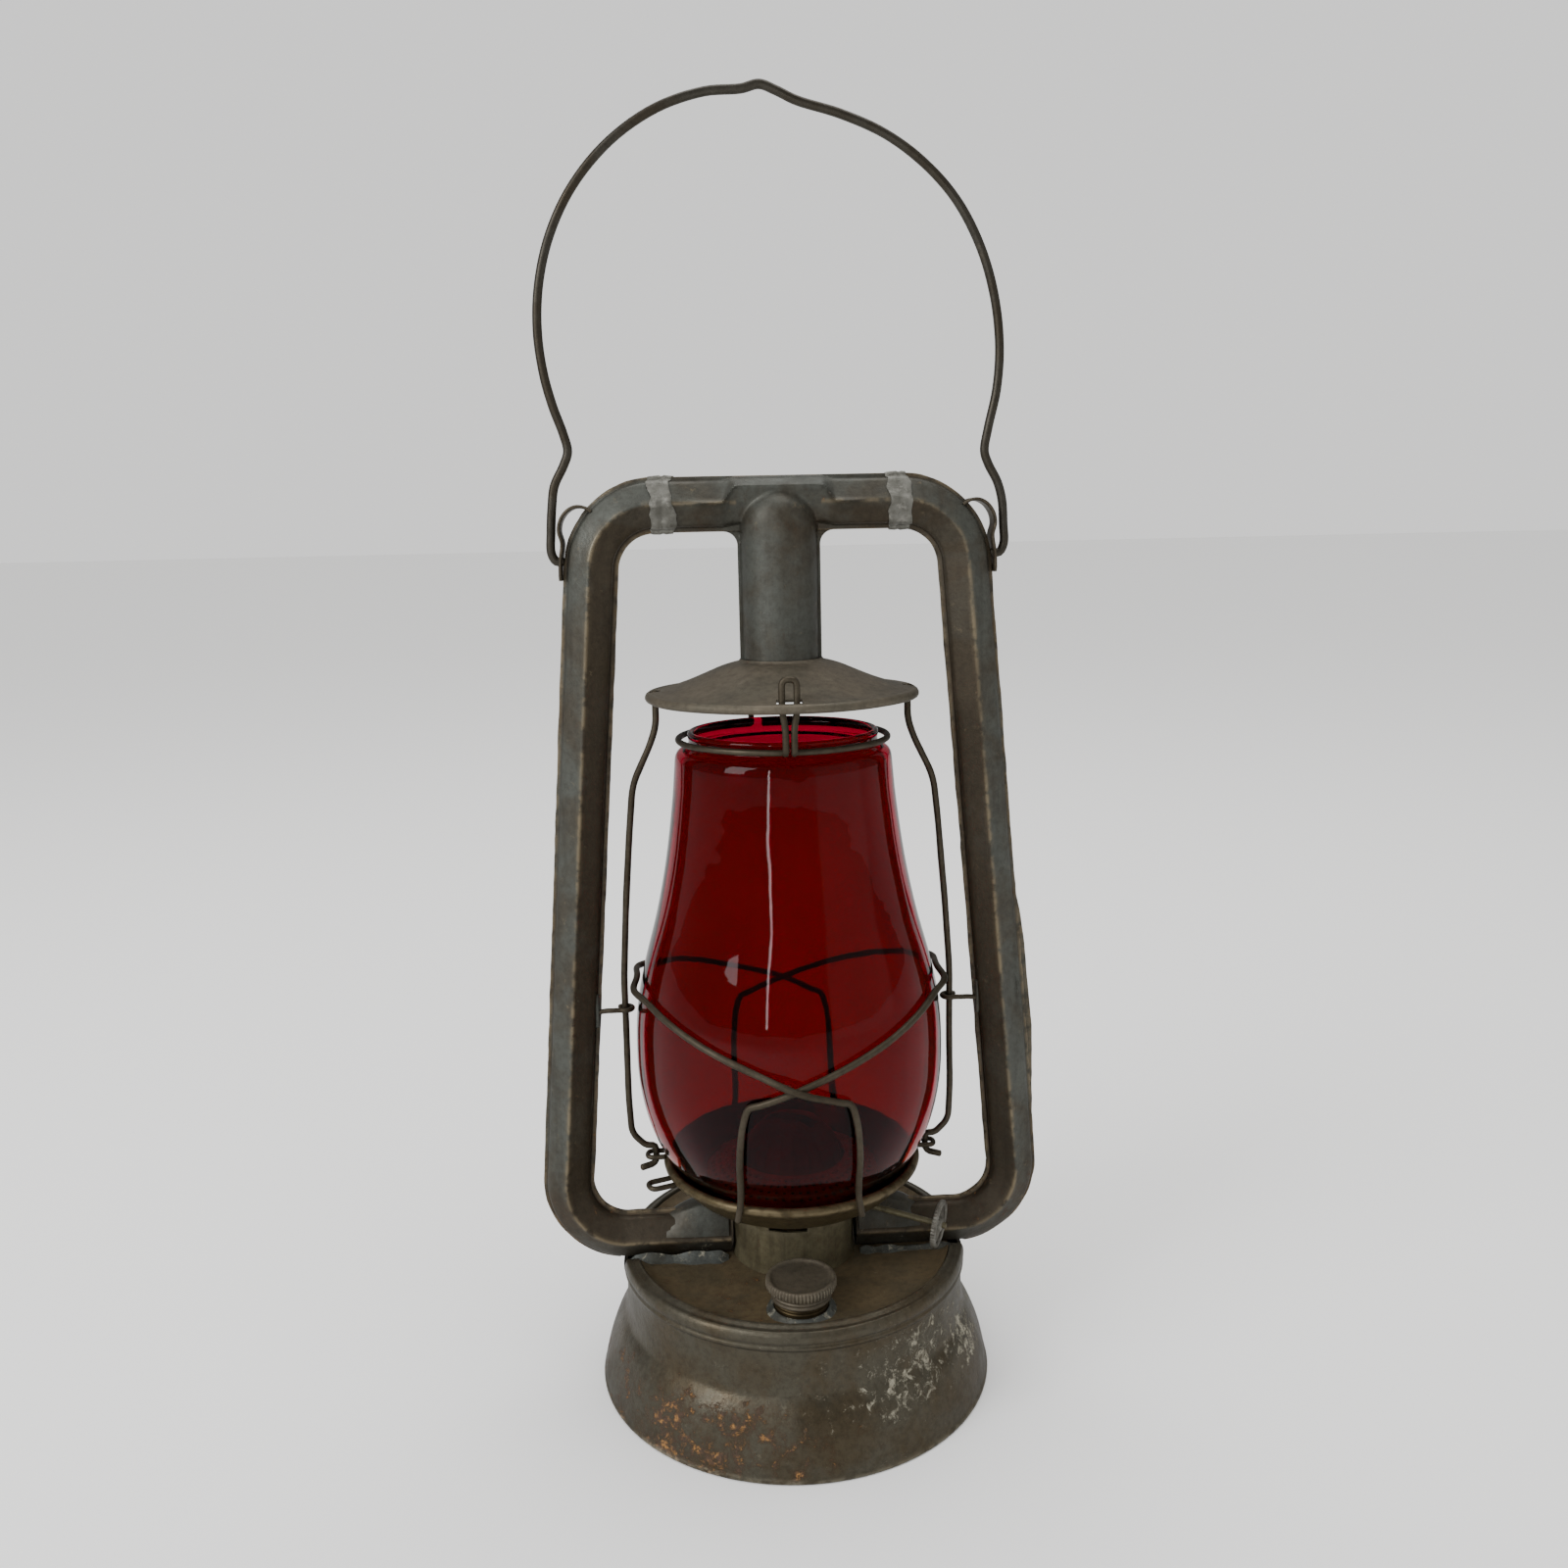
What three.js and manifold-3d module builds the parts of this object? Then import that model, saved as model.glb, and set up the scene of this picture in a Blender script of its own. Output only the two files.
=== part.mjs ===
// A tubular barn lantern with a ruby globe, in millimetres: +Z up, the front towards -Y, the origin at
// the centre of the base on the ground.
import * as THREE from "three";
import { mergeVertices } from "three/addons/utils/BufferGeometryUtils.js";
import Module from "manifold-3d";

// Driving dimensions.
const SHEET = 0.9; // thickness of the pressed sheet
const GAP = 0.3; // running gap between neighbours
const ROUND = 36; // sides of a large turned piece
const FINE = 20; // sides of a small turned piece

const BASE_R = 75.4;
const BAND_R = 66.2; // the crimped ring round the top of the fount
const BAND_TOP_Z = 52.2;
const DISC_Z = 47; // upper face of the fount's top disc

const TUBE_HALF_WIDTH = 9.6; // over the crimped lips
const TUBE_HALF_DEPTH = 8.7; // at the ridge
const BEND_R = 23;
const CROSSBAR_Z = 332.8;
const LOWER_TUBE_Z = 55.4;
const LEG_X_AT_300 = 67.65;
const LEG_LEAN = 0.083; // how far the legs spread per millimetre down
const JOINT_X = 42.6; // where the T piece meets the side tubes
const TUBE_END_X = 24.2;

const CHIMNEY_R = 13.6;
const CHIMNEY_LIP_X = 14.6;
const CHIMNEY_BOTTOM_Z = 268;
const CHIMNEY_DOME_Z = 325;

const CANOPY_R = 49.7;
const CANOPY_RIM_Z = 264.9;
const COLLAR_R = 23.4;
const COLLAR_TOP_Z = 70.3;
const PLATE_R = 49.3;
const PLATE_RIM_Z = 86.4;

const FILLER_Y = -44;
const WIRE_R = 1.25; // side wires, guard and globe ring
const BAIL_WIRE_R = 1.6;
const BAIL_PIVOT_Z = 314;

const SIDE_WIRE_TOP_X = 46;
const GUIDE_X = 61.6;
const GUIDE_Z = 147.5;
const RING_R = 38.2;
const RING_Z = 249.2;
const RING_LEG_Y = -44;
const RING_LEG_X = 2.5;
const RING_FOOT_X = 1.45; // the finger loop's legs draw together at the ring
const REAR_STUB_X = -10.2;

const GUARD_CROSS_Z = 137;
const GUARD_SLOPE = 0.39; // the tilt of each guard hoop
const GUARD_BEND = 19; // degrees past the crossing where the hoop turns down
const GUARD_FOOT = 25.5; // degrees from the front where a leg meets the rim

const BURNER_TURN = THREE.MathUtils.degToRad(-25.2);
const SPINDLE_R = 1.2;
const SPINDLE_Z = 70; // beside the wick; it slopes down towards the wheel
const SPINDLE_TILT = THREE.MathUtils.degToRad(5.6);
const SPINDLE_OFFSET = 4.4; // the spindle runs behind the wick
const WHEEL_U = 57.6; // distance of the thumb wheel along the spindle
const WHEEL_R = 9;

const wasm = await Module();
wasm.setup();

const finishes = {
  greySteel: { color: 0x54595a, roughness: 0.5, metalness: 0.75 },
  brownSteel: { color: 0x5c5446, roughness: 0.6, metalness: 0.65 },
  fountSteel: { color: 0x4c4a3e, roughness: 0.55, metalness: 0.7 },
  solder: { color: 0x86847c, roughness: 0.45, metalness: 0.8 },
  wire: { color: 0x4d463a, roughness: 0.5, metalness: 0.75 },
  plate: { color: 0x665a3c, roughness: 0.5, metalness: 0.7 },
  ruby: { color: 0x7c0010, roughness: 0.05, metalness: 0 },
  brass: { color: 0x8a7440, roughness: 0.45, metalness: 0.9 },
  zinc: { color: 0x84847f, roughness: 0.5, metalness: 0.8 },
  cork: { color: 0x7d5a38, roughness: 0.9, metalness: 0 },
  cotton: { color: 0xcfc4a8, roughness: 0.95, metalness: 0 },
};

const lantern = new THREE.Group();

function add(name, finish, geometry, mirrored = false) {
  const mesh = new THREE.Mesh(geometry, new THREE.MeshStandardMaterial(finishes[finish]));
  mesh.name = name;
  mesh.scale.x = mirrored ? -1 : 1;
  lantern.add(mesh);
  return mesh;
}

// A right-hand piece and its mirror image on the left.
function addPair(name, finish, geometry) {
  add("right_" + name, finish, geometry);
  add("left_" + name, finish, geometry, true);
}

const degrees = THREE.MathUtils.degToRad;
const point = (x, y, z) => new THREE.Vector3(x, y, z);

function solidOf(geometry) {
  const bare = geometry.clone();
  bare.deleteAttribute("normal");
  bare.deleteAttribute("uv");
  const merged = mergeVertices(bare, 1e-4);
  return new wasm.Manifold(
    new wasm.Mesh({
      numProp: 3,
      vertProperties: new Float32Array(merged.attributes.position.array),
      triVerts: new Uint32Array(merged.index.array),
    }),
  );
}

function geometryOf(solid) {
  const mesh = solid.getMesh();
  const geometry = new THREE.BufferGeometry();
  geometry.setAttribute("position", new THREE.BufferAttribute(mesh.vertProperties, 3));
  geometry.setIndex(new THREE.BufferAttribute(mesh.triVerts, 1));
  geometry.computeVertexNormals();
  return geometry;
}

const join = (...parts) => parts.map(solidOf).reduce((a, b) => a.add(b));
const cut = (base, ...tools) =>
  geometryOf(tools.map(solidOf).reduce((rest, tool) => rest.subtract(tool), solidOf(base)));

// A turned piece about Z from a profile of [radius, height] points, walked either way round.
function turned(profile, sides = ROUND) {
  const onAxis = profile[0][0] === 0 && profile.at(-1)[0] === 0;
  const area = THREE.ShapeUtils.area(profile.map(([r, z]) => new THREE.Vector2(r, z)));
  const ordered = area < 0 ? [...profile].reverse() : [...profile];
  if (!onAxis) ordered.push(ordered[0]);
  const points = ordered.map(([r, z]) => new THREE.Vector2(r, z));
  return new THREE.LatheGeometry(points, sides).rotateX(Math.PI / 2);
}

function box(low, high) {
  const size = high.map((h, i) => h - low[i]);
  const centre = high.map((h, i) => (h + low[i]) / 2);
  return new THREE.BoxGeometry(...size).translate(...centre);
}

// A cylinder of radius r between two points.
function rod(from, to, r, sides = 16) {
  const along = to.clone().sub(from);
  const turn = new THREE.Quaternion().setFromUnitVectors(point(0, 1, 0), along.clone().normalize());
  return new THREE.CylinderGeometry(r, r, along.length(), sides)
    .applyQuaternion(turn)
    .translate(...from.clone().add(to).multiplyScalar(0.5));
}

// A path with one ring of vertices at each of its own points, and none between.
class StationPath extends THREE.Curve {
  constructor(points) {
    super();
    this.points = points;
  }

  getPoint(t) {
    return this.points[Math.round(t * (this.points.length - 1))].clone();
  }

  getPointAt(u) {
    return this.getPoint(u);
  }

  getTangentAt(u) {
    const i = Math.round(u * (this.points.length - 1));
    const here = this.points[i];
    const before = this.points[i - 1] ?? here;
    const after = this.points[i + 1] ?? here;
    const arrive = here.clone().sub(before).normalize();
    const leave = after.clone().sub(here).normalize();
    return arrive.add(leave).normalize();
  }

  // On a path of constant y the section's own y stays upright; elsewhere the usual frames do.
  computeFrenetFrames(segments, closed) {
    const planar = this.points.every((p) => p.y === this.points[0].y);
    if (!planar) return super.computeFrenetFrames(segments, closed);
    const tangents = this.points.map((_, i) => this.getTangentAt(i / segments));
    const binormals = tangents.map(() => point(0, 1, 0));
    const normals = tangents.map((tangent) => point(0, 1, 0).cross(tangent));
    return { tangents, normals, binormals };
  }
}

function sweep(outline, points) {
  return new THREE.ExtrudeGeometry(new THREE.Shape(outline), {
    steps: points.length - 1,
    extrudePath: new StationPath(points),
  });
}

function circleOutline(r, sides) {
  return Array.from({ length: sides }, (_, i) => {
    const a = (2 * Math.PI * i) / sides;
    return new THREE.Vector2(r * Math.cos(a), r * Math.sin(a));
  });
}

const wireAlong = (points, r = WIRE_R, sides = 6) => sweep(circleOutline(r, sides), points);

// A polyline of [x, y, z] points with each inner corner rounded over a distance reach.
function rounded(corners, reach = 3, pieces = 3) {
  const p = corners.map((c) => point(...c));
  const path = [p[0]];
  for (let i = 1; i < p.length - 1; i++) {
    const back = p[i - 1].clone().sub(p[i]);
    const on = p[i + 1].clone().sub(p[i]);
    const d = Math.min(reach, back.length() / 2.2, on.length() / 2.2);
    const curve = new THREE.QuadraticBezierCurve3(
      p[i].clone().add(back.setLength(d)),
      p[i],
      p[i].clone().add(on.setLength(d)),
    );
    path.push(...curve.getPoints(pieces));
  }
  path.push(p.at(-1));
  return path;
}

function arc(centreX, centreZ, r, from, to, pieces) {
  return Array.from({ length: pieces + 1 }, (_, i) => {
    const a = from + ((to - from) * i) / pieces;
    return point(centreX + r * Math.cos(a), 0, centreZ + r * Math.sin(a));
  });
}

const legX = (z) => LEG_X_AT_300 + LEG_LEAN * (300 - z);

// ---- Fount ----

const fountWall = [
  [BASE_R, 0],
  [BASE_R, 1.2],
  [74.9, 4],
  [74, 8],
  [72.9, 12.4],
  [71.3, 17],
  [69.5, 21.2],
  [67.6, 24.4],
  [66, 26.8],
  [65.4, 29.4],
  [65.2, 33],
  [65.1, 38],
  [65.3, 43.6],
  [BAND_R, 44.6],
  [BAND_R, 48.2],
  [66, 49.6],
  [65.4, 51],
  [64.2, 51.6],
  [61.4, BAND_TOP_Z],
  [60.8, 51.8],
];

function fountShell() {
  const inner = [
    [60.8, 51.1],
    [63.6, 50.6],
    [64.7, 49.4],
    [65, 47.6],
    [64.2, 44],
    [64, 33],
    [64.8, 27],
    [69.9, 17.2],
    [72.6, 8],
    [74.1, 1.2],
    [74.1, 0],
  ];
  const notches = [-1, 1].map((side) =>
    box(
      [side > 0 ? 58 : -70, -TUBE_HALF_DEPTH - 1, LOWER_TUBE_Z - TUBE_HALF_WIDTH - GAP],
      [side > 0 ? 70 : -58, TUBE_HALF_DEPTH + 1, BAND_TOP_Z + 5],
    ),
  );
  return cut(turned([...fountWall, ...inner]), ...notches);
}

function fountTop() {
  const disc = turned([
    [10, DISC_Z - 1],
    [63.8, DISC_Z - 1],
    [63.8, DISC_Z],
    [10, DISC_Z],
  ]);
  // Outside the tubes the disc curves up to the ring.
  const dish = turned([
    [50, DISC_Z - 0.5],
    [50, DISC_Z + 0.05],
    [55, 47.9],
    [58.4, 49.4],
    [60.4, 51.2],
    [60.4, DISC_Z - 0.5],
  ]);
  const tubes = box([-70, -TUBE_HALF_DEPTH - 1, DISC_Z], [70, TUBE_HALF_DEPTH + 1, 60]);
  const neck = rod(point(0, FILLER_Y, 40), point(0, FILLER_Y, 55), 10.3, FINE);
  return geometryOf(join(disc, cut(dish, tubes)).subtract(solidOf(neck)));
}

add("fount_shell", "fountSteel", fountShell());
add("fount_top", "fountSteel", fountTop());
add(
  "fount_bottom",
  "fountSteel",
  turned([
    [0, 3],
    [58, 3],
    [60, 2],
    [73.1, 2],
    [73.1, 3],
    [60.4, 3],
    [58.4, 4],
    [0, 4],
  ]),
);

// ---- Filler ----

function fillerNeck() {
  return turned(
    [
      [8.9, 43.5],
      [10, 43.5],
      [10, 48.9],
      [13.2, 48.9],
      [13.2, 49.5],
      [11.4, 50.2],
      [10, 50.8],
      [10, 56.3],
      [8.9, 56.3],
    ],
    FINE,
  ).translate(0, FILLER_Y, 0);
}

function fillerCap() {
  return turned(
    [
      [0, 59.2],
      [10.8, 59.2],
      [11.3, 60],
      [12.2, 60],
      [12.6, 59.4],
      [12.6, 56.2],
      [12, 55.4],
      [11.3, 55.2],
      [11.3, 52.4],
      [10.4, 52.4],
      [10.4, 58.2],
      [0, 58.2],
    ],
    FINE,
  ).translate(0, FILLER_Y, 0);
}

add("filler_neck", "brass", fillerNeck());
add("filler_cap", "brass", fillerCap());
add(
  "filler_gasket",
  "cork",
  turned(
    [
      [0, 56.6],
      [10, 56.6],
      [10, 57.9],
      [0, 57.9],
    ],
    FINE,
  ).translate(0, FILLER_Y, 0),
);

// ---- Side tubes, each of two pressed halves crimped at a lip along both edges ----

// The section of a half: x towards the inside of the frame, y away from the seam.
const seam = GAP / 2;
const ridgeX = -0.2;
const sectionOuter = [
  [-TUBE_HALF_WIDTH, seam],
  [-TUBE_HALF_WIDTH, 0.95],
  [-8.2, 1.1],
  [-7.8, 3.6],
  [ridgeX, TUBE_HALF_DEPTH],
  [7.8, 3.6],
  [8.2, 1.1],
  [TUBE_HALF_WIDTH, 0.95],
  [TUBE_HALF_WIDTH, seam],
];
const sectionInner = [
  [-7.3, seam],
  [-6.95, 3.1],
  [ridgeX, TUBE_HALF_DEPTH - 1.1],
  [6.95, 3.1],
  [7.3, seam],
];

function sideTubePath() {
  const topCentreX = legX(CROSSBAR_Z) - BEND_R * Math.tan((Math.PI / 2 - Math.atan(LEG_LEAN)) / 2);
  const lowCornerX = legX(LOWER_TUBE_Z);
  const lowReach = BEND_R * Math.tan((Math.PI / 2 + Math.atan(LEG_LEAN)) / 2);
  const lean = Math.atan(LEG_LEAN);
  return [
    point(JOINT_X + GAP, 0, CROSSBAR_Z),
    ...arc(topCentreX, CROSSBAR_Z - BEND_R, BEND_R, Math.PI / 2, lean, 7),
    ...arc(lowCornerX - lowReach, LOWER_TUBE_Z + BEND_R, BEND_R, lean, -Math.PI / 2, 8),
    point(TUBE_END_X, 0, LOWER_TUBE_Z),
  ];
}

function sideTubeHalf(sign) {
  const section = [...sectionOuter, ...[...sectionInner].reverse()];
  const outline = section.map(([x, y]) => new THREE.Vector2(x, sign * y));
  const seat = box([-70, -20, 30], [66, 20, DISC_Z + GAP]);
  return cut(sweep(outline, sideTubePath()), seat);
}

addPair("tube_front", "greySteel", sideTubeHalf(-1));
addPair("tube_rear", "greySteel", sideTubeHalf(1));

// ---- T piece: crossbar and chimney tube pressed together, in two halves ----

function crossbarPrism(section, halfLength) {
  const outline = section.map(([x, y]) => new THREE.Vector2(x, y === seam ? -1 : y));
  return sweep(outline, [point(-halfLength, 0, CROSSBAR_Z), point(halfLength, 0, CROSSBAR_Z)]);
}

const chimneyTube = (r, bottom) => rod(point(0, 0, bottom), point(0, 0, CHIMNEY_DOME_Z), r, 16);

function chimneyDome(r) {
  return new THREE.SphereGeometry(r, 16, 8).rotateX(Math.PI / 2).translate(0, 0, CHIMNEY_DOME_Z);
}

function teeHalf() {
  const inside = CHIMNEY_R - SHEET;
  const behind = box([-60, -30, 250], [60, seam, 350]);
  const shell = join(
    crossbarPrism(sectionOuter, JOINT_X),
    chimneyTube(CHIMNEY_R, CHIMNEY_BOTTOM_Z),
    box([-CHIMNEY_LIP_X, -1, CHIMNEY_BOTTOM_Z], [CHIMNEY_LIP_X, 0.95, CHIMNEY_DOME_Z]),
    chimneyDome(CHIMNEY_R),
  );
  const hollow = join(
    crossbarPrism(sectionInner, JOINT_X + 1),
    chimneyTube(inside, CHIMNEY_BOTTOM_Z - 1),
    chimneyDome(inside),
  );
  return geometryOf(shell.subtract(hollow).subtract(solidOf(behind)));
}

const teeRear = teeHalf();
add("tee_rear", "greySteel", teeRear);
add("tee_front", "greySteel", teeRear.clone()).scale.y = -1;

// The soldered band over a joint between the T piece and a side tube, slipped inward by the given amount.
function jointBand(slip) {
  const prism = (grow, from, to) => {
    const half = sectionOuter.slice(1, -1).map(([x, y]) => [x + Math.sign(x) * grow, y + grow]);
    const whole = [...half, ...half.map(([x, y]) => [x, -y]).reverse()];
    const outline = whole.map(([x, y]) => new THREE.Vector2(x, y));
    return sweep(outline, [point(from, 0, CROSSBAR_Z), point(to, 0, CROSSBAR_Z)]);
  };
  const band = prism(0.95, JOINT_X - 3.1 - slip, JOINT_X + 3.1 - slip);
  return cut(band, prism(GAP, JOINT_X - 8, JOINT_X + 5));
}

add("right_joint_band", "solder", jointBand(0));
add("left_joint_band", "solder", jointBand(1.8), true);

// ---- Canopy ----

function canopy() {
  const shell = turned([
    [15.2, 277.2],
    [18, 276.6],
    [22, 275.4],
    [27, 273.3],
    [34, 270.4],
    [40, 268.3],
    [46, 266.9],
    [48.4, 266.5],
    [CANOPY_R, CANOPY_RIM_Z],
    [49.1, 263.5],
    [47.6, 263.5],
    [46.4, 265.7],
    [40, 267.1],
    [33.6, 269.3],
    [22, 274.1],
    [15.2, 276],
  ]);
  const wireHoles = [-1, 1].map((s) =>
    rod(point(s * SIDE_WIRE_TOP_X, 0, 255), point(s * SIDE_WIRE_TOP_X, 0, 275), 1.75, 8),
  );
  const loopSlot = box([-4.4, RING_LEG_Y - 2, 255], [4.4, RING_LEG_Y + 2, 275]);
  const rearY = Math.sqrt(RING_R ** 2 - REAR_STUB_X ** 2);
  const rearHole = rod(point(REAR_STUB_X, rearY, 255), point(REAR_STUB_X, rearY, 275), 2, 8);
  return cut(shell, ...wireHoles, loopSlot, rearHole);
}

add("canopy", "brownSteel", canopy());

// ---- Ears that carry the bail ----

function bailEar() {
  const strip = [
    [68.3, 332.6],
    [71.2, 332.9],
    [74.6, 331.2],
    [76.9, 327.8],
    [77.4, 324],
    [76.5, 320.6],
    [76.9, 317],
    [77.2, 313],
    [77.4, 307.4],
  ].map(([x, z]) => point(x, 0, z));
  const outline = [
    [-0.55, -4.5],
    [0.55, -4.5],
    [0.55, 4.5],
    [-0.55, 4.5],
  ].map(([x, y]) => new THREE.Vector2(x, y));
  const hole = rod(point(70, 0, BAIL_PIVOT_Z), point(84, 0, BAIL_PIVOT_Z), 2.1, 12);
  return cut(sweep(outline, strip), hole);
}

addPair("bail_ear", "brownSteel", bailEar());

// ---- Guide eyes on the side tubes, through which the side wires slide ----

function guideEye() {
  const reach = 2.95;
  const curl = Array.from({ length: 10 }, (_, i) => {
    const a = degrees(-70 - 26 * i);
    return point(GUIDE_X + reach * Math.cos(a), reach * Math.sin(a), GUIDE_Z);
  });
  const anchorX = legX(GUIDE_Z) - TUBE_HALF_WIDTH - GAP;
  return wireAlong([point(anchorX, -1.4, GUIDE_Z), point(GUIDE_X + 4.4, -2.3, GUIDE_Z), ...curl], 1.1);
}

addPair("guide_eye", "wire", guideEye());

// ---- Air chamber: the collar that the side tubes feed, with hoods over the tube ends ----

function burnerPoint(u, w, z) {
  return point(u, w, z).applyAxisAngle(point(0, 0, 1), BURNER_TURN);
}

const spindleZ = (u) => SPINDLE_Z - Math.tan(SPINDLE_TILT) * u;
const spindlePoint = (u) => burnerPoint(u, SPINDLE_OFFSET, spindleZ(u));
const spindleRod = (fromU, toU, r, sides) => rod(spindlePoint(fromU), spindlePoint(toU), r, sides);

// Carries a flat piece made in the XY plane, depth thick, to a distance u along the spindle.
const onSpindle = (piece, depth, u) =>
  piece
    .translate(0, 0, -depth / 2)
    .rotateY(Math.PI / 2 + SPINDLE_TILT)
    .translate(u, SPINDLE_OFFSET, spindleZ(u))
    .rotateZ(BURNER_TURN);

function airChamber() {
  const wall = turned([
    [COLLAR_R, DISC_Z + GAP],
    [COLLAR_R, 64],
    [COLLAR_R + 1.2, COLLAR_TOP_Z],
    [COLLAR_R + 0.3, COLLAR_TOP_Z],
    [COLLAR_R - SHEET, 64],
    [COLLAR_R - SHEET, DISC_Z + GAP],
  ]);
  const ports = rod(point(-30, 0, LOWER_TUBE_Z + 1), point(30, 0, LOWER_TUBE_Z + 1), 6.4, 12);
  const slot = box([-7.5, -30, 65.2], [7.5, -18, 67.4]);
  return cut(wall, ports, slot, spindleRod(15, 30, 1.9, 8));
}

function tubeHood() {
  const side = new THREE.Shape(
    [
      [26, LOWER_TUBE_Z],
      [47.5, LOWER_TUBE_Z],
      [47.5, 64.6],
      [38, 69.6],
      [26, 69.6],
    ].map(([x, z]) => new THREE.Vector2(x, z)),
  );
  const block = new THREE.ExtrudeGeometry(side, { depth: 10.8, bevelEnabled: false })
    .rotateX(Math.PI / 2)
    .translate(0, 5.4, 0);
  const clear = sectionOuter.map(([x, y]) => [x + Math.sign(x) * GAP, y + 0.4]);
  const both = [...clear, ...clear.map(([x, y]) => [x, -y]).reverse()];
  const tube = sweep(
    both.map(([x, y]) => new THREE.Vector2(x, y)),
    [point(20, 0, LOWER_TUBE_Z), point(60, 0, LOWER_TUBE_Z)],
  );
  return cut(block, tube);
}

add("air_chamber", "fountSteel", airChamber());
addPair("tube_hood", "greySteel", tubeHood());

// ---- Burner, turned a little so that its spindle reaches out between the tube and the filler ----

function burnerBody() {
  const cup = turned(
    [
      [10.2, DISC_Z + GAP],
      [18.6, DISC_Z + GAP],
      [18.6, 60],
      [17, 66],
      [17, 82],
      [16.2, 82],
      [16.2, 66.2],
      [17.8, 59.8],
      [17.8, DISC_Z + 1.1],
      [10.2, DISC_Z + 1.1],
    ],
    FINE,
  );
  return cut(cup, spindleRod(8, 22, 1.9, 8));
}

function burnerCone() {
  const dome = turned(
    [
      [18.8, 82.4],
      [19.2, 86],
      [17, 93],
      [12, 98.6],
      [6, 100.8],
      [0, 101.2],
      [0, 100.4],
      [5.8, 100],
      [11.5, 97.9],
      [16.2, 92.6],
      [18.3, 86],
      [17.9, 82.4],
    ],
    FINE,
  );
  return dome;
}

function slotted(geometry) {
  const slot = box([-10, -3, 94], [10, 3, 110]).applyMatrix4(
    new THREE.Matrix4().makeRotationZ(BURNER_TURN),
  );
  return cut(geometry, slot);
}

function wickTube() {
  const outer = box([-9, -2.2, 38], [9, 2.2, 92]);
  const inner = box([-8.4, -1.6, 37], [8.4, 1.6, 93]);
  const windows = [-4.5, 4.5].map((u) => box([u - 1.4, 1, spindleZ(u) - 4], [u + 1.4, 3, spindleZ(u) + 4]));
  return cut(outer, inner, ...windows).rotateZ(BURNER_TURN);
}

function sprocket(u) {
  const teeth = 8;
  const star = Array.from({ length: teeth * 2 }, (_, i) => {
    const r = i % 2 ? 2.1 : 2.9;
    const a = (Math.PI * i) / teeth;
    return new THREE.Vector2(r * Math.cos(a), r * Math.sin(a));
  });
  const shape = new THREE.Shape(star);
  shape.holes.push(new THREE.Path(circleOutline(SPINDLE_R + GAP, 8)));
  return onSpindle(new THREE.ExtrudeGeometry(shape, { depth: 1.4, bevelEnabled: false }), 1.4, u);
}

function thumbWheel() {
  const rim = new THREE.Shape(circleOutline(WHEEL_R, FINE));
  for (const quarter of [0, 1, 2, 3]) {
    const from = quarter * 90 + 14;
    const edge = (r, a) => new THREE.Vector2(r * Math.cos(degrees(a)), r * Math.sin(degrees(a)));
    const angles = [from, from + 31, from + 62];
    const window = [...angles.map((a) => edge(6.9, a)), edge(3, from + 52), edge(3, from + 10)];
    rim.holes.push(new THREE.Path(window));
  }
  rim.holes.push(new THREE.Path(circleOutline(SPINDLE_R + GAP, 8)));
  return onSpindle(new THREE.ExtrudeGeometry(rim, { depth: 2, bevelEnabled: false }), 2, WHEEL_U);
}

add("burner_body", "brass", burnerBody());
add("burner_cone", "brass", slotted(burnerCone()));
add("wick_tube", "brass", wickTube());
add("wick", "cotton", box([-8, -1.2, 14], [8, 1.2, 95]).rotateZ(BURNER_TURN));
add("wick_spindle", "zinc", spindleRod(-9, WHEEL_U + 2.6, SPINDLE_R, 8));
add("wick_sprocket_inner", "zinc", sprocket(-4.5));
add("wick_sprocket_outer", "zinc", sprocket(4.5));
add("wick_wheel", "zinc", thumbWheel());

// ---- Globe ----

const globeOuter = [
  [36.6, 76.4],
  [41.2, 82.2],
  [46.8, 89.6],
  [51.4, 97.8],
  [55, 108],
  [57.3, 121],
  [57.7, 135],
  [56.8, 149],
  [53.8, 164.4],
  [48.4, 184.6],
  [44.2, 205],
  [41, 228],
  [39.7, 242.4],
  [38.3, 245.6],
  [34.8, 247.8],
  [34.2, 251.6],
];
const globeInner = [
  [32.2, 251.6],
  [32.4, 246.8],
  [36.6, 243],
  [39.2, 226],
  [46.6, 183],
  [54.4, 150],
  [55.6, 133],
  [54, 112],
  [47, 93.6],
  [34.6, 77.4],
  [34.6, 76.4],
];

function globeRadius(z) {
  const i = Math.max(1, globeOuter.findIndex(([, top]) => top >= z));
  const [r0, z0] = globeOuter[i - 1];
  const [r1, z1] = globeOuter[i];
  return r0 + ((r1 - r0) * (z - z0)) / (z1 - z0);
}

add("globe", "ruby", turned([...globeOuter, ...globeInner]));

// ---- Globe plate, its perforated dome, and what is soldered to its rim ----

function globePlate() {
  return turned([
    [20.4, 70.8],
    [27, 71.2],
    [33.4, 72.7],
    [39, 75.6],
    [43.5, 79.9],
    [46.8, 84.6],
    [48.6, 84.9],
    [PLATE_R, PLATE_RIM_Z],
    [48.4, 88],
    [46.2, 87.8],
    [45.7, 85.2],
    [42.7, 80.5],
    [38.3, 76.4],
    [32.6, 73.6],
    [20.4, 71.7],
  ]);
}

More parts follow.
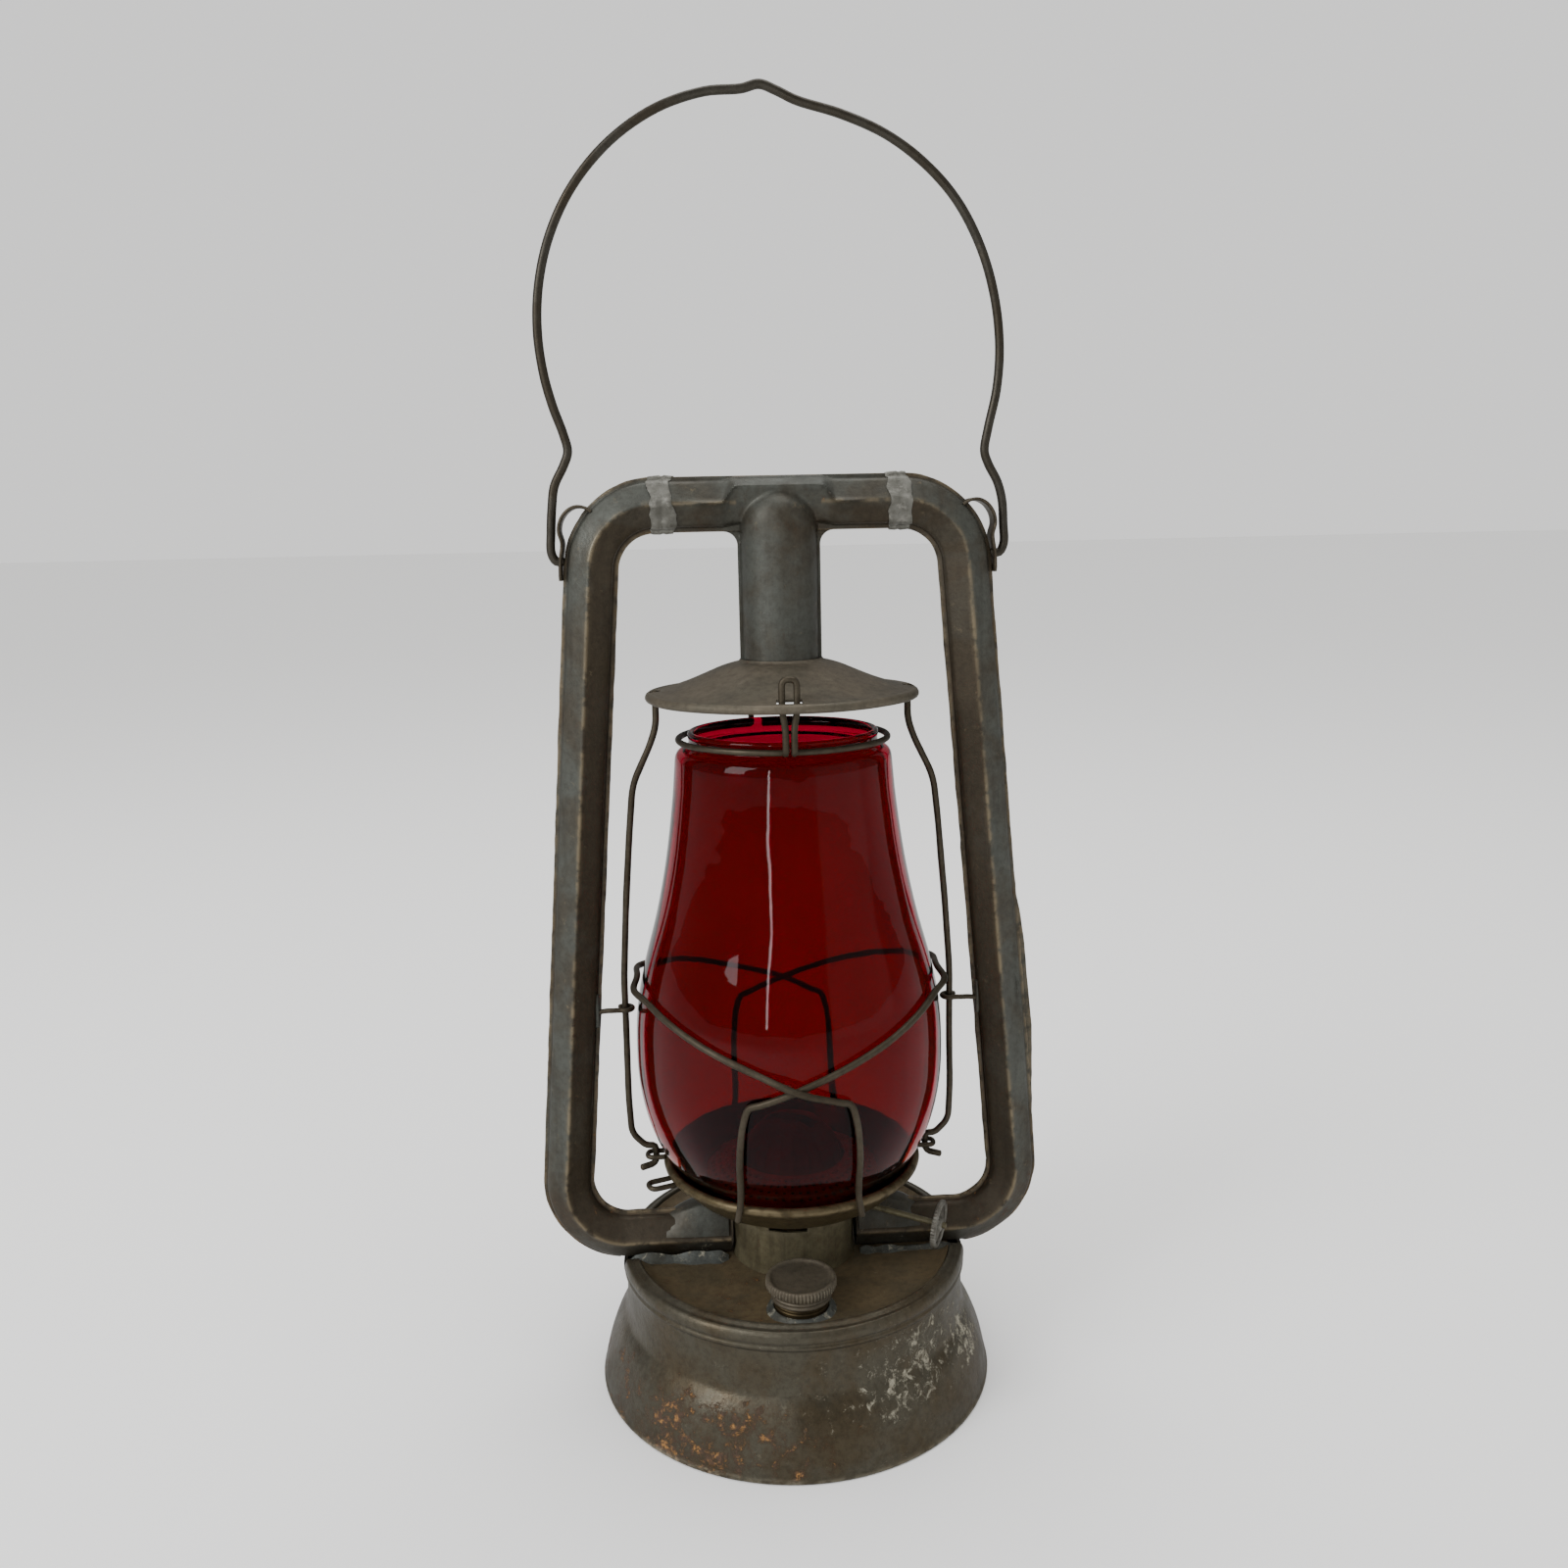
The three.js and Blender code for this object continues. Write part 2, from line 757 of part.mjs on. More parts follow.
function perforatedDome() {
  const shell = turned(
    [
      [33.6, 74.8],
      [33.6, 79],
      [31, 82.6],
      [20.8, 87],
      [20.8, 86.1],
      [30.4, 81.9],
      [32.7, 78.7],
      [32.7, 74.8],
    ],
    FINE,
  );
  const holes = Array.from({ length: 12 }, (_, i) => {
    const a = degrees(30 * i + 15);
    const r = 26.5;
    const [x, y] = [r * Math.cos(a), r * Math.sin(a)];
    return rod(point(x, y, 80), point(x, y, 90), 1.5, 6);
  });
  return cut(shell, ...holes);
}

// A narrow wire loop that stands out from the plate's rim at the given angle.
function rimLoop(angle, length, halfWidth, r, z) {
  const root = PLATE_R + GAP + 0.2;
  return wireAlong(
    rounded(
      [
        [root, halfWidth, z],
        [root + length, halfWidth, z],
        [root + length, -halfWidth, z],
        [root, -halfWidth, z],
      ],
      halfWidth * 0.9,
      3,
    ).map((p) => p.applyAxisAngle(point(0, 0, 1), degrees(angle))),
    r,
  );
}

function sideWire() {
  return wireAlong(
    rounded(
      [
        [SIDE_WIRE_TOP_X, 0, 264.6],
        [SIDE_WIRE_TOP_X, 0, 254.6],
        [48.4, 0, 247.5],
        [55.4, 0, 233],
        [57.2, 0, 216],
        [59.8, 0, 186],
        [GUIDE_X, 0, 158],
        [GUIDE_X, 0, 134],
        [61.9, 0, 112],
        [61.2, 0, 97],
        [56, 0, 91.8],
        [52.2, 0, 91.8],
        [52.1, 0, 84.4],
        [57.6, -2.4, 84],
      ],
      4,
      2,
    ),
  );
}

// One hoop of the guard: up from the rim, round one side of the globe and down again behind.
// It passes the other hoop at the front and back, outside it where lift is set.
function guardHoop(lift) {
  const stand = WIRE_R + 0.6;
  const place = (deg, r, z) => point(r * Math.sin(degrees(deg)), -r * Math.cos(degrees(deg)), z);
  const bump = (deg, at, width) => Math.exp(-(((deg - at) / width) ** 2));
  const legHeights = [83.6, 90, 98, 108, 118, 125];
  const leg = legHeights.map((z, i) => {
    const turn = GUARD_FOOT + ((GUARD_BEND - GUARD_FOOT) * i) / (legHeights.length - 1);
    return [turn, Math.max(globeRadius(z) + stand, PLATE_R + stand), z];
  });
  const round = [];
  for (let deg = -17; deg <= 197.1; deg += 7.133) {
    const z = GUARD_CROSS_Z + GUARD_SLOPE * 58.5 * Math.sin(degrees(deg));
    const over = lift * 2.9 * (bump(deg, 0, 9) + bump(deg, 180, 9));
    const kink = 2.2 * (bump(deg, 76, 8) + bump(deg, 104, 8));
    round.push(place(deg, globeRadius(z) + stand + over + kink, z));
  }
  return wireAlong([
    ...leg.map(([turn, r, z]) => place(-turn, r, z)),
    ...round,
    ...leg.reverse().map(([turn, r, z]) => place(180 + turn, r, z)),
  ]);
}

add("globe_plate", "plate", globePlate());
add("perforated_dome", "brass", perforatedDome());
add("lift_loop", "wire", rimLoop(201, 8.5, 2.9, 1, 85.2));
add("right_plate_eye", "wire", rimLoop(0, 5.6, 2.7, 0.95, 88));
add("left_plate_eye", "wire", rimLoop(180, 5.6, 2.7, 0.95, 88));
addPair("side_wire", "wire", sideWire());
add("right_guard_hoop", "wire", guardHoop(0));
add("left_guard_hoop", "wire", guardHoop(1), true);

// ---- Ring that holds the globe's neck, with its finger loop through the canopy ----

function retainerRing() {
  const on = (deg) => [RING_R * Math.sin(degrees(deg)), -RING_R * Math.cos(degrees(deg)), RING_Z];
  const stubTurn = 180 + THREE.MathUtils.radToDeg(Math.asin(-REAR_STUB_X / RING_R));
  const frontTurn = THREE.MathUtils.radToDeg(Math.asin(RING_FOOT_X / RING_R));
  const [stubX, stubY] = on(stubTurn);
  const steps = 9;
  const leftSide = Array.from({ length: steps }, (_, i) =>
    on(stubTurn + 4 + ((360 - frontTurn - stubTurn - 4) * i) / (steps - 1)),
  );
  const rightSide = Array.from({ length: steps }, (_, i) =>
    on(frontTurn + ((stubTurn - 7 - frontTurn) * i) / (steps - 1)),
  );
  const loop = [
    [-RING_FOOT_X, RING_LEG_Y, RING_Z + 0.4],
    [-RING_FOOT_X, RING_LEG_Y, 258],
    [-RING_LEG_X, RING_LEG_Y, 264],
    [-RING_LEG_X, RING_LEG_Y, 274.6],
    [RING_LEG_X, RING_LEG_Y, 274.6],
    [RING_LEG_X, RING_LEG_Y, 264],
    [RING_FOOT_X, RING_LEG_Y, 258],
    [RING_FOOT_X, RING_LEG_Y, RING_Z + 0.4],
  ];
  return wireAlong(
    rounded([[stubX, stubY, 269.4], [stubX, stubY, RING_Z], ...leftSide, ...loop, ...rightSide], 2.4, 2),
    1.15,
  );
}

add("retainer_ring", "wire", retainerRing());

// ---- Bail ----

// The wire was bent by hand: the arch leans and its crown stands up in a small bump.
const bailBends = [
  [-76.6, BAIL_PIVOT_Z],
  [-78.8, BAIL_PIVOT_Z],
  [-80.4, 316.8],
  [-80.2, 324],
  [-79.4, 333],
  [-78.2, 340],
  [-74.6, 347],
  [-73, 351.6],
  [-74.2, 357.5],
  [-77.4, 367],
  [-80, 378],
  [-81.3, 392],
  [-80, 407.5],
  [-75.4, 423.5],
  [-67, 438.8],
  [-54, 452.8],
  [-38, 463],
  [-22, 468],
  [-9.5, 468.9],
  [-3.4, 470.3],
  [2, 468.4],
  [9, 465.2],
  [24, 460.9],
  [39, 454.6],
  [52.2, 445.4],
  [63.5, 433.4],
  [72, 418],
  [77, 401.5],
  [78.9, 385],
  [78, 370.5],
  [75, 357],
  [73.8, 349.4],
  [75.2, 345],
  [78.6, 338.5],
  [80.3, 332],
  [80.8, 324],
  [81, 317],
  [79.4, BAIL_PIVOT_Z],
  [76.6, BAIL_PIVOT_Z],
];

function bailPath() {
  const bends = bailBends.map(([x, z]) => point(x, 0, z));
  return new THREE.CatmullRomCurve3(bends, false, "centripetal").getPoints(84);
}

add("bail", "wire", wireAlong(bailPath(), BAIL_WIRE_R));

export default lantern;
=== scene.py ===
"""The looks of the tubular barn lantern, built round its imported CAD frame. Lengths are in millimetres."""

import math

import bpy
import numpy as np
from mathutils import Matrix, Vector, noise


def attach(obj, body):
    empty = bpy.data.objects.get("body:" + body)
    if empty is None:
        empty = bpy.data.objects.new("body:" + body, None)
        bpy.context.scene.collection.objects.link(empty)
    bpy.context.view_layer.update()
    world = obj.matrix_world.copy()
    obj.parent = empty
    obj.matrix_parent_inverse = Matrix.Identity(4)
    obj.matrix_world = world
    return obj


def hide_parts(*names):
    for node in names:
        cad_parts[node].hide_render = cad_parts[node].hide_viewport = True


MM = 0.001
UP = np.array((0.0, 0.0, 1.0))
RIGHT = np.array((1.0, 0.0, 0.0))
BACK = np.array((0.0, 1.0, 0.0))

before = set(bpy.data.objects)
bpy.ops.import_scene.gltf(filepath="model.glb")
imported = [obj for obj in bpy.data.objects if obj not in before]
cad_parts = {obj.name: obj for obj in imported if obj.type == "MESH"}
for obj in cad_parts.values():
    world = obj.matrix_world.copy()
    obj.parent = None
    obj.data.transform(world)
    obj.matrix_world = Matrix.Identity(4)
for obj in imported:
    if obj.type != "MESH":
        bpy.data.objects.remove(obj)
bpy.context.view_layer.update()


# --- small maths


def smoothstep(t):
    t = min(1.0, max(0.0, t))
    return t * t * (3 - 2 * t)


def bump(x, centre, width):
    return math.exp(-(((x - centre) / width) ** 2))


def wobble(p, size, seed=0.0):
    """Smooth noise between about -1 and 1 with features of the given size."""
    return noise.noise(Vector((p[0] / size + seed, p[1] / size - seed, p[2] / size + 2 * seed)))


def polar(r, a, z):
    return (r * math.cos(a), r * math.sin(a), z)


def hand(side):
    return "right" if side > 0 else "left"


def between(t, start, end, a, b):
    """The point at t on the line that is at a when t is start and at b when t is end."""
    return ((end - t) * a + (t - start) * b) / (end - start)


def curve_through(points, per=6):
    """A centripetal Catmull-Rom curve through the points, per steps to each span."""
    pts = [np.array(p, float) for p in points]
    ends = [2 * pts[0] - pts[1], *pts, 2 * pts[-1] - pts[-2]]
    out = []
    for a, b, c, d in zip(ends, ends[1:], ends[2:], ends[3:]):
        t0 = 0.0
        t1 = t0 + max(1e-6, np.linalg.norm(b - a)) ** 0.5
        t2 = t1 + max(1e-6, np.linalg.norm(c - b)) ** 0.5
        t3 = t2 + max(1e-6, np.linalg.norm(d - c)) ** 0.5
        for k in range(per):
            t = t1 + (t2 - t1) * k / per
            bc = between(t, t1, t2, b, c)
            abc = between(t, t0, t2, between(t, t0, t1, a, b), bc)
            bcd = between(t, t1, t3, bc, between(t, t2, t3, c, d))
            out.append(between(t, t1, t2, abc, bcd))
    out.append(pts[-1])
    return out


def curved_profile(points, per):
    return [tuple(p) for p in curve_through(points, per)]


def rounded(corners, reach=3.0, pieces=5):
    """A polyline with each inner corner rounded over a distance reach."""
    p = [np.array(c, float) for c in corners]
    path = [p[0]]
    for i in range(1, len(p) - 1):
        back, on = p[i - 1] - p[i], p[i + 1] - p[i]
        d = min(reach, np.linalg.norm(back) / 2.2, np.linalg.norm(on) / 2.2)
        start = p[i] + back / np.linalg.norm(back) * d
        end = p[i] + on / np.linalg.norm(on) * d
        for k in range(pieces + 1):
            t = k / pieces
            path.append((1 - t) ** 2 * start + 2 * t * (1 - t) * p[i] + t * t * end)
    path.append(p[-1])
    return path


def resampled(path, step):
    """The same path with stations about step apart and none closer than a third of that."""
    path = [np.array(p, float) for p in path]
    out = [path[0]]
    for p in path[1:]:
        gap = np.linalg.norm(p - out[-1])
        if gap < step / 3 and p is not path[-1]:
            continue
        count = max(1, int(math.ceil(gap / step)))
        start = out[-1]
        out.extend(start + (p - start) * (k + 1) / count for k in range(count))
    return out


def headings(path):
    """The direction of the path at each of its points."""
    ways = [b - a for a, b in zip(path[:1] + path[:-1], path[1:] + path[-1:])]
    return [w / np.linalg.norm(w) for w in ways]


def turned_about_z(point, angle):
    c, s = math.cos(angle), math.sin(angle)
    return np.array((c * point[0] - s * point[1], s * point[0] + c * point[1], point[2]))


# --- mesh building


def put_in_scene(obj):
    bpy.context.scene.collection.objects.link(obj)


class Build:
    """Collects closed surfaces, in millimetres, and turns them into one object."""

    def __init__(self):
        self.verts, self.faces = [], []
        self.masks = {"worn": [], "rust": [], "chalk": [], "brown_and_painted_light": []}

    def vert(self, p, worn=0.0, rust=0.0, chalk=0.0, brown_and_painted_light=0.0):
        self.verts.append(np.array(p, float))
        for key, value in (("worn", worn), ("rust", rust), ("chalk", chalk), ("brown_and_painted_light", brown_and_painted_light)):
            self.masks[key].append(value)
        return len(self.verts) - 1

    def ring(self, points, worn=None):
        worn = worn or [0.0] * len(points)
        return [self.vert(p, w) for p, w in zip(points, worn)]

    def bridge(self, a, b):
        n = len(a)
        for i in range(n):
            j = (i + 1) % n
            self.faces.append((a[i], a[j], b[j], b[i]))

    def bridge_all(self, rings, closed=False):
        for a, b in zip(rings, rings[1:] + (rings[:1] if closed else [])):
            self.bridge(a, b)

    def fan(self, ring, tip, flip=False):
        n = len(ring)
        for i in range(n):
            j = (i + 1) % n
            self.faces.append((ring[j], ring[i], tip) if flip else (ring[i], ring[j], tip))

    def loft(self, rings, worn=None):
        """A solid through rings of equal length, closed at each end by its own outline."""
        made = [self.ring(r, worn) for r in rings]
        self.bridge_all(made)
        self.faces.append(tuple(reversed(made[0])))
        self.faces.append(tuple(made[-1]))
        return made

    def wire(self, path, radius, sides=12, step=2.5, roughness=0.0, seed=0.0):
        """A round wire along a path, its ends rounded off."""
        path = resampled(path, step)
        tangents = headings(path)
        side = np.cross(tangents[0], UP if abs(tangents[0][2]) < 0.9 else BACK)
        side /= np.linalg.norm(side)
        rings = []
        for p, t in zip(path, tangents):
            side = side - t * np.dot(side, t)
            side /= np.linalg.norm(side)
            other = np.cross(t, side)
            r = radius * (1 + roughness * wobble(p, 9, seed))
            q = p + side * roughness * 1.5 * wobble(p, 26, seed + 5) * radius
            rings.append((q, t, side.copy(), other, r))
        first, last = rings[0], rings[-1]
        caps = [math.radians(a) for a in (75, 50, 25)]
        bulge = 0.6

        def cap(end, way, a):
            q, t, s, o, r = end
            return q + way * t * bulge * r * math.sin(a), s, o, r * math.cos(a)

        stations = [cap(first, -1, a) for a in caps]
        stations += [(q, s, o, r) for q, t, s, o, r in rings]
        stations += [cap(last, 1, a) for a in reversed(caps)]
        made = []
        for q, s, o, r in stations:
            made.append(self.ring([q + r * (math.cos(2 * math.pi * k / sides) * s
                                            + math.sin(2 * math.pi * k / sides) * o)
                                   for k in range(sides)]))
        self.bridge_all(made)
        self.fan(made[0], self.vert(first[0] - first[1] * bulge * first[4]), flip=True)
        self.fan(made[-1], self.vert(last[0] + last[1] * bulge * last[4]))

    def revolve(self, profile, sides=96, shape=None, mask=None, centre=(0.0, 0.0), closed=True, skip=None):
        """Turns a profile of (radius, height) about a vertical axis.

        shape(i, angle, r, z) may move a vertex, mask(i, angle, r, z) gives its wear, rust and chalk, and
        skip(i, k) leaves a face out, after which the caller closes the hole.
        """
        rows = []
        for i, (r, z) in enumerate(profile):
            if r == 0:
                rows.append([self.vert((centre[0], centre[1], z))] * sides)
                continue
            row = []
            for k in range(sides):
                a = 2 * math.pi * k / sides
                rr, zz = shape(i, a, r, z) if shape else (r, z)
                marks = mask(i, a, r, z) if mask else (0.0, 0.0, 0.0)
                x, y = centre[0] + rr * math.cos(a), centre[1] + rr * math.sin(a)
                row.append(self.vert((x, y, zz), *marks))
            rows.append(row)
        pairs = list(zip(range(len(rows)), range(1, len(rows))))
        if closed:
            pairs.append((len(rows) - 1, 0))
        for i, j in pairs:
            for k in range(sides):
                if skip and skip(i, k):
                    continue
                m = (k + 1) % sides
                quad = [rows[i][k], rows[i][m], rows[j][m], rows[j][k]]
                face = tuple(dict.fromkeys(quad))
                if len(face) > 2:
                    self.faces.append(face)
        return rows

    def revolve_pierced(self, profile, sides, shape, mask, openings, flip=False):
        """A revolved shell with openings. Each is (middle column, half width, outer rows, inner rows)."""
        def skip(i, k):
            for middle, half, outer, inner in openings:
                across = (k - middle + sides // 2) % sides - sides // 2
                if -half <= across < half and (i in outer[:-1] or i in inner[:-1]):
                    return True
            return False

        def wall(a, b, c, d):
            self.faces.append((b, a, d, c) if flip else (a, b, c, d))

        rows = self.revolve(profile, sides, shape, mask, skip=skip)
        for middle, half, outer, inner in openings:
            columns = [(middle + d) % sides for d in range(-half, half + 1)]
            outs = [[rows[i][k] for k in columns] for i in outer]
            ins = [[rows[i][k] for k in columns] for i in reversed(inner)]
            for n in range(len(columns) - 1):
                wall(outs[0][n], outs[0][n + 1], ins[0][n + 1], ins[0][n])
                wall(outs[-1][n + 1], outs[-1][n], ins[-1][n], ins[-1][n + 1])
            for n in range(len(outs) - 1):
                wall(outs[n + 1][0], outs[n][0], ins[n][0], ins[n + 1][0])
                wall(outs[n][-1], outs[n + 1][-1], ins[n + 1][-1], ins[n][-1])

    def plate(self, outer, inner, cells):
        """Two faces of a sheet over the cells of a grid, with an edge wherever a neighbour is missing."""
        used = set(cells)
        sides = ((0, -1, (0, 0), (1, 0)), (0, 1, (1, 1), (0, 1)), (-1, 0, (0, 1), (0, 0)), (1, 0, (1, 0),
                                                                                            (1, 1)))
        for i, j in cells:
            self.faces.append((outer[i, j], outer[i + 1, j], outer[i + 1, j + 1], outer[i, j + 1]))
            self.faces.append((inner[i, j + 1], inner[i + 1, j + 1], inner[i + 1, j], inner[i, j]))
            for di, dj, a, b in sides:
                if (i + di, j + dj) not in used:
                    p, q = (i + a[0], j + a[1]), (i + b[0], j + b[1])
                    self.faces.append((outer[q], outer[p], inner[p], inner[q]))

    def mirror_left(self, side):
        """Pieces are drawn on the right. side is 1 on the right and -1 on the left."""
        if side < 0:
            for v in self.verts:
                v[0] = -v[0]

    def finish(self, name, material, body, replaced=(), angle=40):
        mesh = bpy.data.meshes.new(name)
        mesh.from_pydata([tuple(v * MM) for v in self.verts], [], self.faces)
        mesh.update()
        mesh.validate()
        mesh.calc_loop_triangles()
        co = [v.co for v in mesh.vertices]
        volume = sum(co[t.vertices[0]].dot(co[t.vertices[1]].cross(co[t.vertices[2]]))
                     for t in mesh.loop_triangles)
        if volume < 0:
            mesh.flip_normals()
        for key, values in self.masks.items():
            if any(values):
                attribute = mesh.attributes.new(key, "FLOAT", "POINT")
                attribute.data.foreach_set("value", values)
        mesh.polygons.foreach_set("use_smooth", [True] * len(mesh.polygons))
        mesh.set_sharp_from_angle(angle=math.radians(angle))
        mesh.materials.append(material)
        obj = bpy.data.objects.new(name, mesh)
        put_in_scene(obj)
        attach(obj, body)
        if replaced:
            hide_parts(*replaced)

    def finish_side(self, side, part, ending, material, body, angle=40):
        """Finishes a piece that both sides have and that replaces the side's own part."""
        self.mirror_left(side)
        name = hand(side) + "_" + part
        self.finish(name + ending, material, body, (name,), angle)


# --- materials


def linear(r, g, b):
    def one(c):
        c /= 255
        return c / 12.92 if c <= 0.04045 else ((c + 0.055) / 1.055) ** 2.4

    return (one(r), one(g), one(b), 1.0)


class Nodes:
    """A short way to write a node tree."""

    def __init__(self, name):
        self.material = bpy.data.materials.new(name)
        self.material.use_nodes = True
        self.tree = self.material.node_tree
        self.tree.nodes.clear()
        out = self.node("OutputMaterial")
        self.shader = self.node("BsdfPrincipled")
        self.feed(out, {"Surface": self.shader.outputs[0]})
        self.coords = self.node("TexCoord").outputs["Object"]

    def feed(self, node, inputs):
        """Gives each input its number or colour, or joins it to the socket of another node."""
        for key, value in inputs.items():
            if isinstance(value, (int, float, tuple)):
                node.inputs[key].default_value = value
            else:
                self.tree.links.new(value, node.inputs[key])

    def node(self, kind, inputs=None):
        node = self.tree.nodes.new("ShaderNode" + kind)
        self.feed(node, inputs or {})
        return node

    def set(self, name, value):
        self.feed(self.shader, {name: value})

    def noise(self, scale, detail=4.0, rough=0.55, stretch=None, distortion=0.0):
        source = self.coords
        if stretch:
            source = self.node("Mapping", {"Scale": stretch, "Vector": source}).outputs[0]
        return self.node("TexNoise", {"Scale": scale, "Detail": detail, "Roughness": rough,
                                      "Distortion": distortion, "Vector": source}).outputs[0]

    def ramp(self, value, low, high, flat=False):
        """A mask that goes from 0 at low to 1 at high."""
        node = self.node("MapRange", {"From Min": low, "From Max": high, "Value": value})
        node.interpolation_type = "LINEAR" if flat else "SMOOTHSTEP"
        return node.outputs[0]

    def math(self, operation, a, b, clamp=False):
        node = self.node("Math", {0: a, 1: b})
        node.operation = operation
        node.use_clamp = clamp
        return node.outputs[0]

    def times(self, a, b):
        return self.math("MULTIPLY", a, b)

    def plus(self, a, b, clamp=False):
        return self.math("ADD", a, b, clamp)

    def mix(self, factor, a, b):
        node = self.node("Mix")
        node.data_type = "RGBA"
        self.feed(node, {0: factor, 6: a, 7: b})
        return node.outputs[2]

    def attribute(self, name):
        node = self.node("Attribute")
        node.attribute_name = name
        return node.outputs["Fac"]

    def bump(self, height, distance, strength=1.0, onto=None):
        settings = {"Strength": strength, "Distance": distance, "Height": height}
        if onto:
            settings["Normal"] = onto
        return self.node("Bump", settings).outputs[0]


RUST_DARK = linear(66, 45, 28)
RUST_BRIGHT = linear(186, 132, 62)
CHALK = linear(164, 159, 140)
GRIME = linear(34, 29, 22)


def aged_metal(name, main, second, worn, metallic=0.75, rough=(0.34, 0.62), patch=38.0, rust=0.5, chalk=0.0,
               streaks=0.35, grain=0.00012):
    """Old plated steel: two tones in patches, dark streaks, rust freckles, chalky spots and worn edges."""
    main, second, worn = linear(*main), linear(*second), linear(*worn)
    n = Nodes(name)
    patches = n.times(n.ramp(n.noise(patch, 5, 0.6, distortion=0.4), 0.40, 0.66), 0.7)
    # The second tone also goes where the mesh's brown mask asks, which on the tubes and the crossbar is
    # partly painted shade.
    colour = n.mix(n.plus(patches, n.attribute("brown_and_painted_light"), clamp=True), main, second)
    streak = n.ramp(n.noise(9, 4, 0.6, stretch=(26, 26, 2.2)), 0.46, 0.72)
    colour = n.mix(n.times(streak, streaks), colour, GRIME)
    mottle = n.ramp(n.noise(420, 3, 0.7), 0.35, 0.75)
    colour = n.mix(n.times(mottle, 0.32), colour, GRIME)
    light_spots = n.ramp(n.noise(150, 6, 0.75), 0.60, 0.74)
    colour = n.mix(n.times(light_spots, 0.42), colour, worn)

    chalk_mask = n.plus(n.attribute("chalk"), chalk)
    chalk_noise = n.noise(240, 8, 0.82, distortion=0.5)
    chalk_cut = n.plus(chalk_noise, n.times(chalk_mask, 0.17))
    chalky = n.times(n.ramp(chalk_cut, 0.66, 0.76), 0.7)
    colour = n.mix(chalky, colour, CHALK)

    rust_mask = n.plus(n.attribute("rust"), rust * 0.12)
    rust_cut = n.plus(n.noise(190, 8, 0.75, distortion=0.3), n.times(rust_mask, 0.20))
    rusty = n.ramp(rust_cut, 0.70, 0.80)
    rust_tone = n.mix(n.ramp(n.noise(420, 5, 0.7), 0.46, 0.66), RUST_DARK, RUST_BRIGHT)
    colour = n.mix(n.times(rusty, 0.9), colour, rust_tone)
    halo = n.times(n.ramp(rust_cut, 0.60, 0.74), 0.35)
    colour = n.mix(halo, colour, RUST_DARK)

    edge = n.math("MULTIPLY", n.attribute("worn"), n.ramp(n.noise(190, 4, 0.6), 0.36, 0.58), clamp=True)
    colour = n.mix(n.times(edge, 0.75), colour, worn)
    n.set("Base Color", colour)

    dull = n.math("MAXIMUM", rusty, chalky)
    n.set("Metallic", n.times(n.math("SUBTRACT", 1.0, n.times(dull, 0.85)), metallic))
    spread = rough[1] - rough[0]
    base_rough = n.plus(n.times(n.ramp(n.noise(60, 5, 0.6), 0.3, 0.7, True), spread), rough[0])
    base_rough = n.plus(base_rough, n.times(dull, 0.3))
    n.set("Roughness", n.math("SUBTRACT", base_rough, n.times(edge, 0.08), clamp=True))

    fine = n.bump(n.noise(900, 4, 0.6), grain, 0.6)
    pits = n.bump(n.noise(170, 5, 0.6), grain * 4, 0.35, onto=fine)
    scab = n.bump(dull, 0.0002, 0.7, onto=pits)
    n.set("Normal", scab)
    return n.material


def ruby_glass():
    n = Nodes("ruby_glass")
    ruby = n.mix(n.ramp(n.noise(14, 2, 0.5), 0.3, 0.7), (0.28, 0.0026, 0.017, 1), (0.22, 0.0022, 0.014, 1))
    # Painted light: where the mesh's brown mask asks, low on the globe, the glass turns amber to stand in
    # for the lit dome and burner seen through it.
    n.set("Base Color", n.mix(n.attribute("brown_and_painted_light"), ruby, (0.30, 0.05, 0.008, 1)))
    n.set("Transmission Weight", 1.0)
    n.set("IOR", 1.28)
    dust = n.ramp(n.noise(520, 6, 0.8), 0.62, 0.80)
    n.set("Roughness", n.plus(n.times(dust, 0.22), 0.015))
    pull = n.bump(n.noise(22, 3, 0.5, stretch=(1, 1, 0.22)), 0.0022, 0.5)
    seeds = n.bump(n.noise(60, 2, 0.5), 0.0004, 0.25, onto=pull)
    n.set("Normal", seeds)
    return n.material


def solder_metal():
    n = Nodes("solder_metal")
    tone = n.mix(n.ramp(n.noise(110, 5, 0.7), 0.35, 0.65), linear(118, 117, 110), linear(92, 91, 84))
    tone = n.mix(n.times(n.ramp(n.noise(320, 4, 0.7), 0.5, 0.75), 0.6), tone, linear(160, 158, 150))
    n.set("Base Color", tone)
    n.set("Metallic", 0.55)
    n.set("Roughness", n.plus(n.times(n.noise(90, 3), 0.3), 0.3))
    n.set("Normal", n.bump(n.noise(160, 5, 0.65), 0.0006, 0.6))
    return n.material


def plain_cloth(name, a, b):
    n = Nodes(name)
    n.set("Base Color", n.mix(n.ramp(n.noise(400, 4), 0.4, 0.6), a, b))
    n.set("Roughness", 0.95)
    n.set("Normal", n.bump(n.noise(1500, 2), 0.0003, 0.6))
    return n.material


TUBE = aged_metal("tube_steel", (79, 81, 75), (66, 58, 45), (136, 122, 96), rust=0.6,
                  streaks=0.25, metallic=0.55)
FOUNT = aged_metal("fount_steel", (86, 82, 70), (80, 68, 48), (128, 122, 104), rust=0.8,
                   patch=42, streaks=0.0, grain=0.00016, rough=(0.27, 0.5), chalk=0.15)
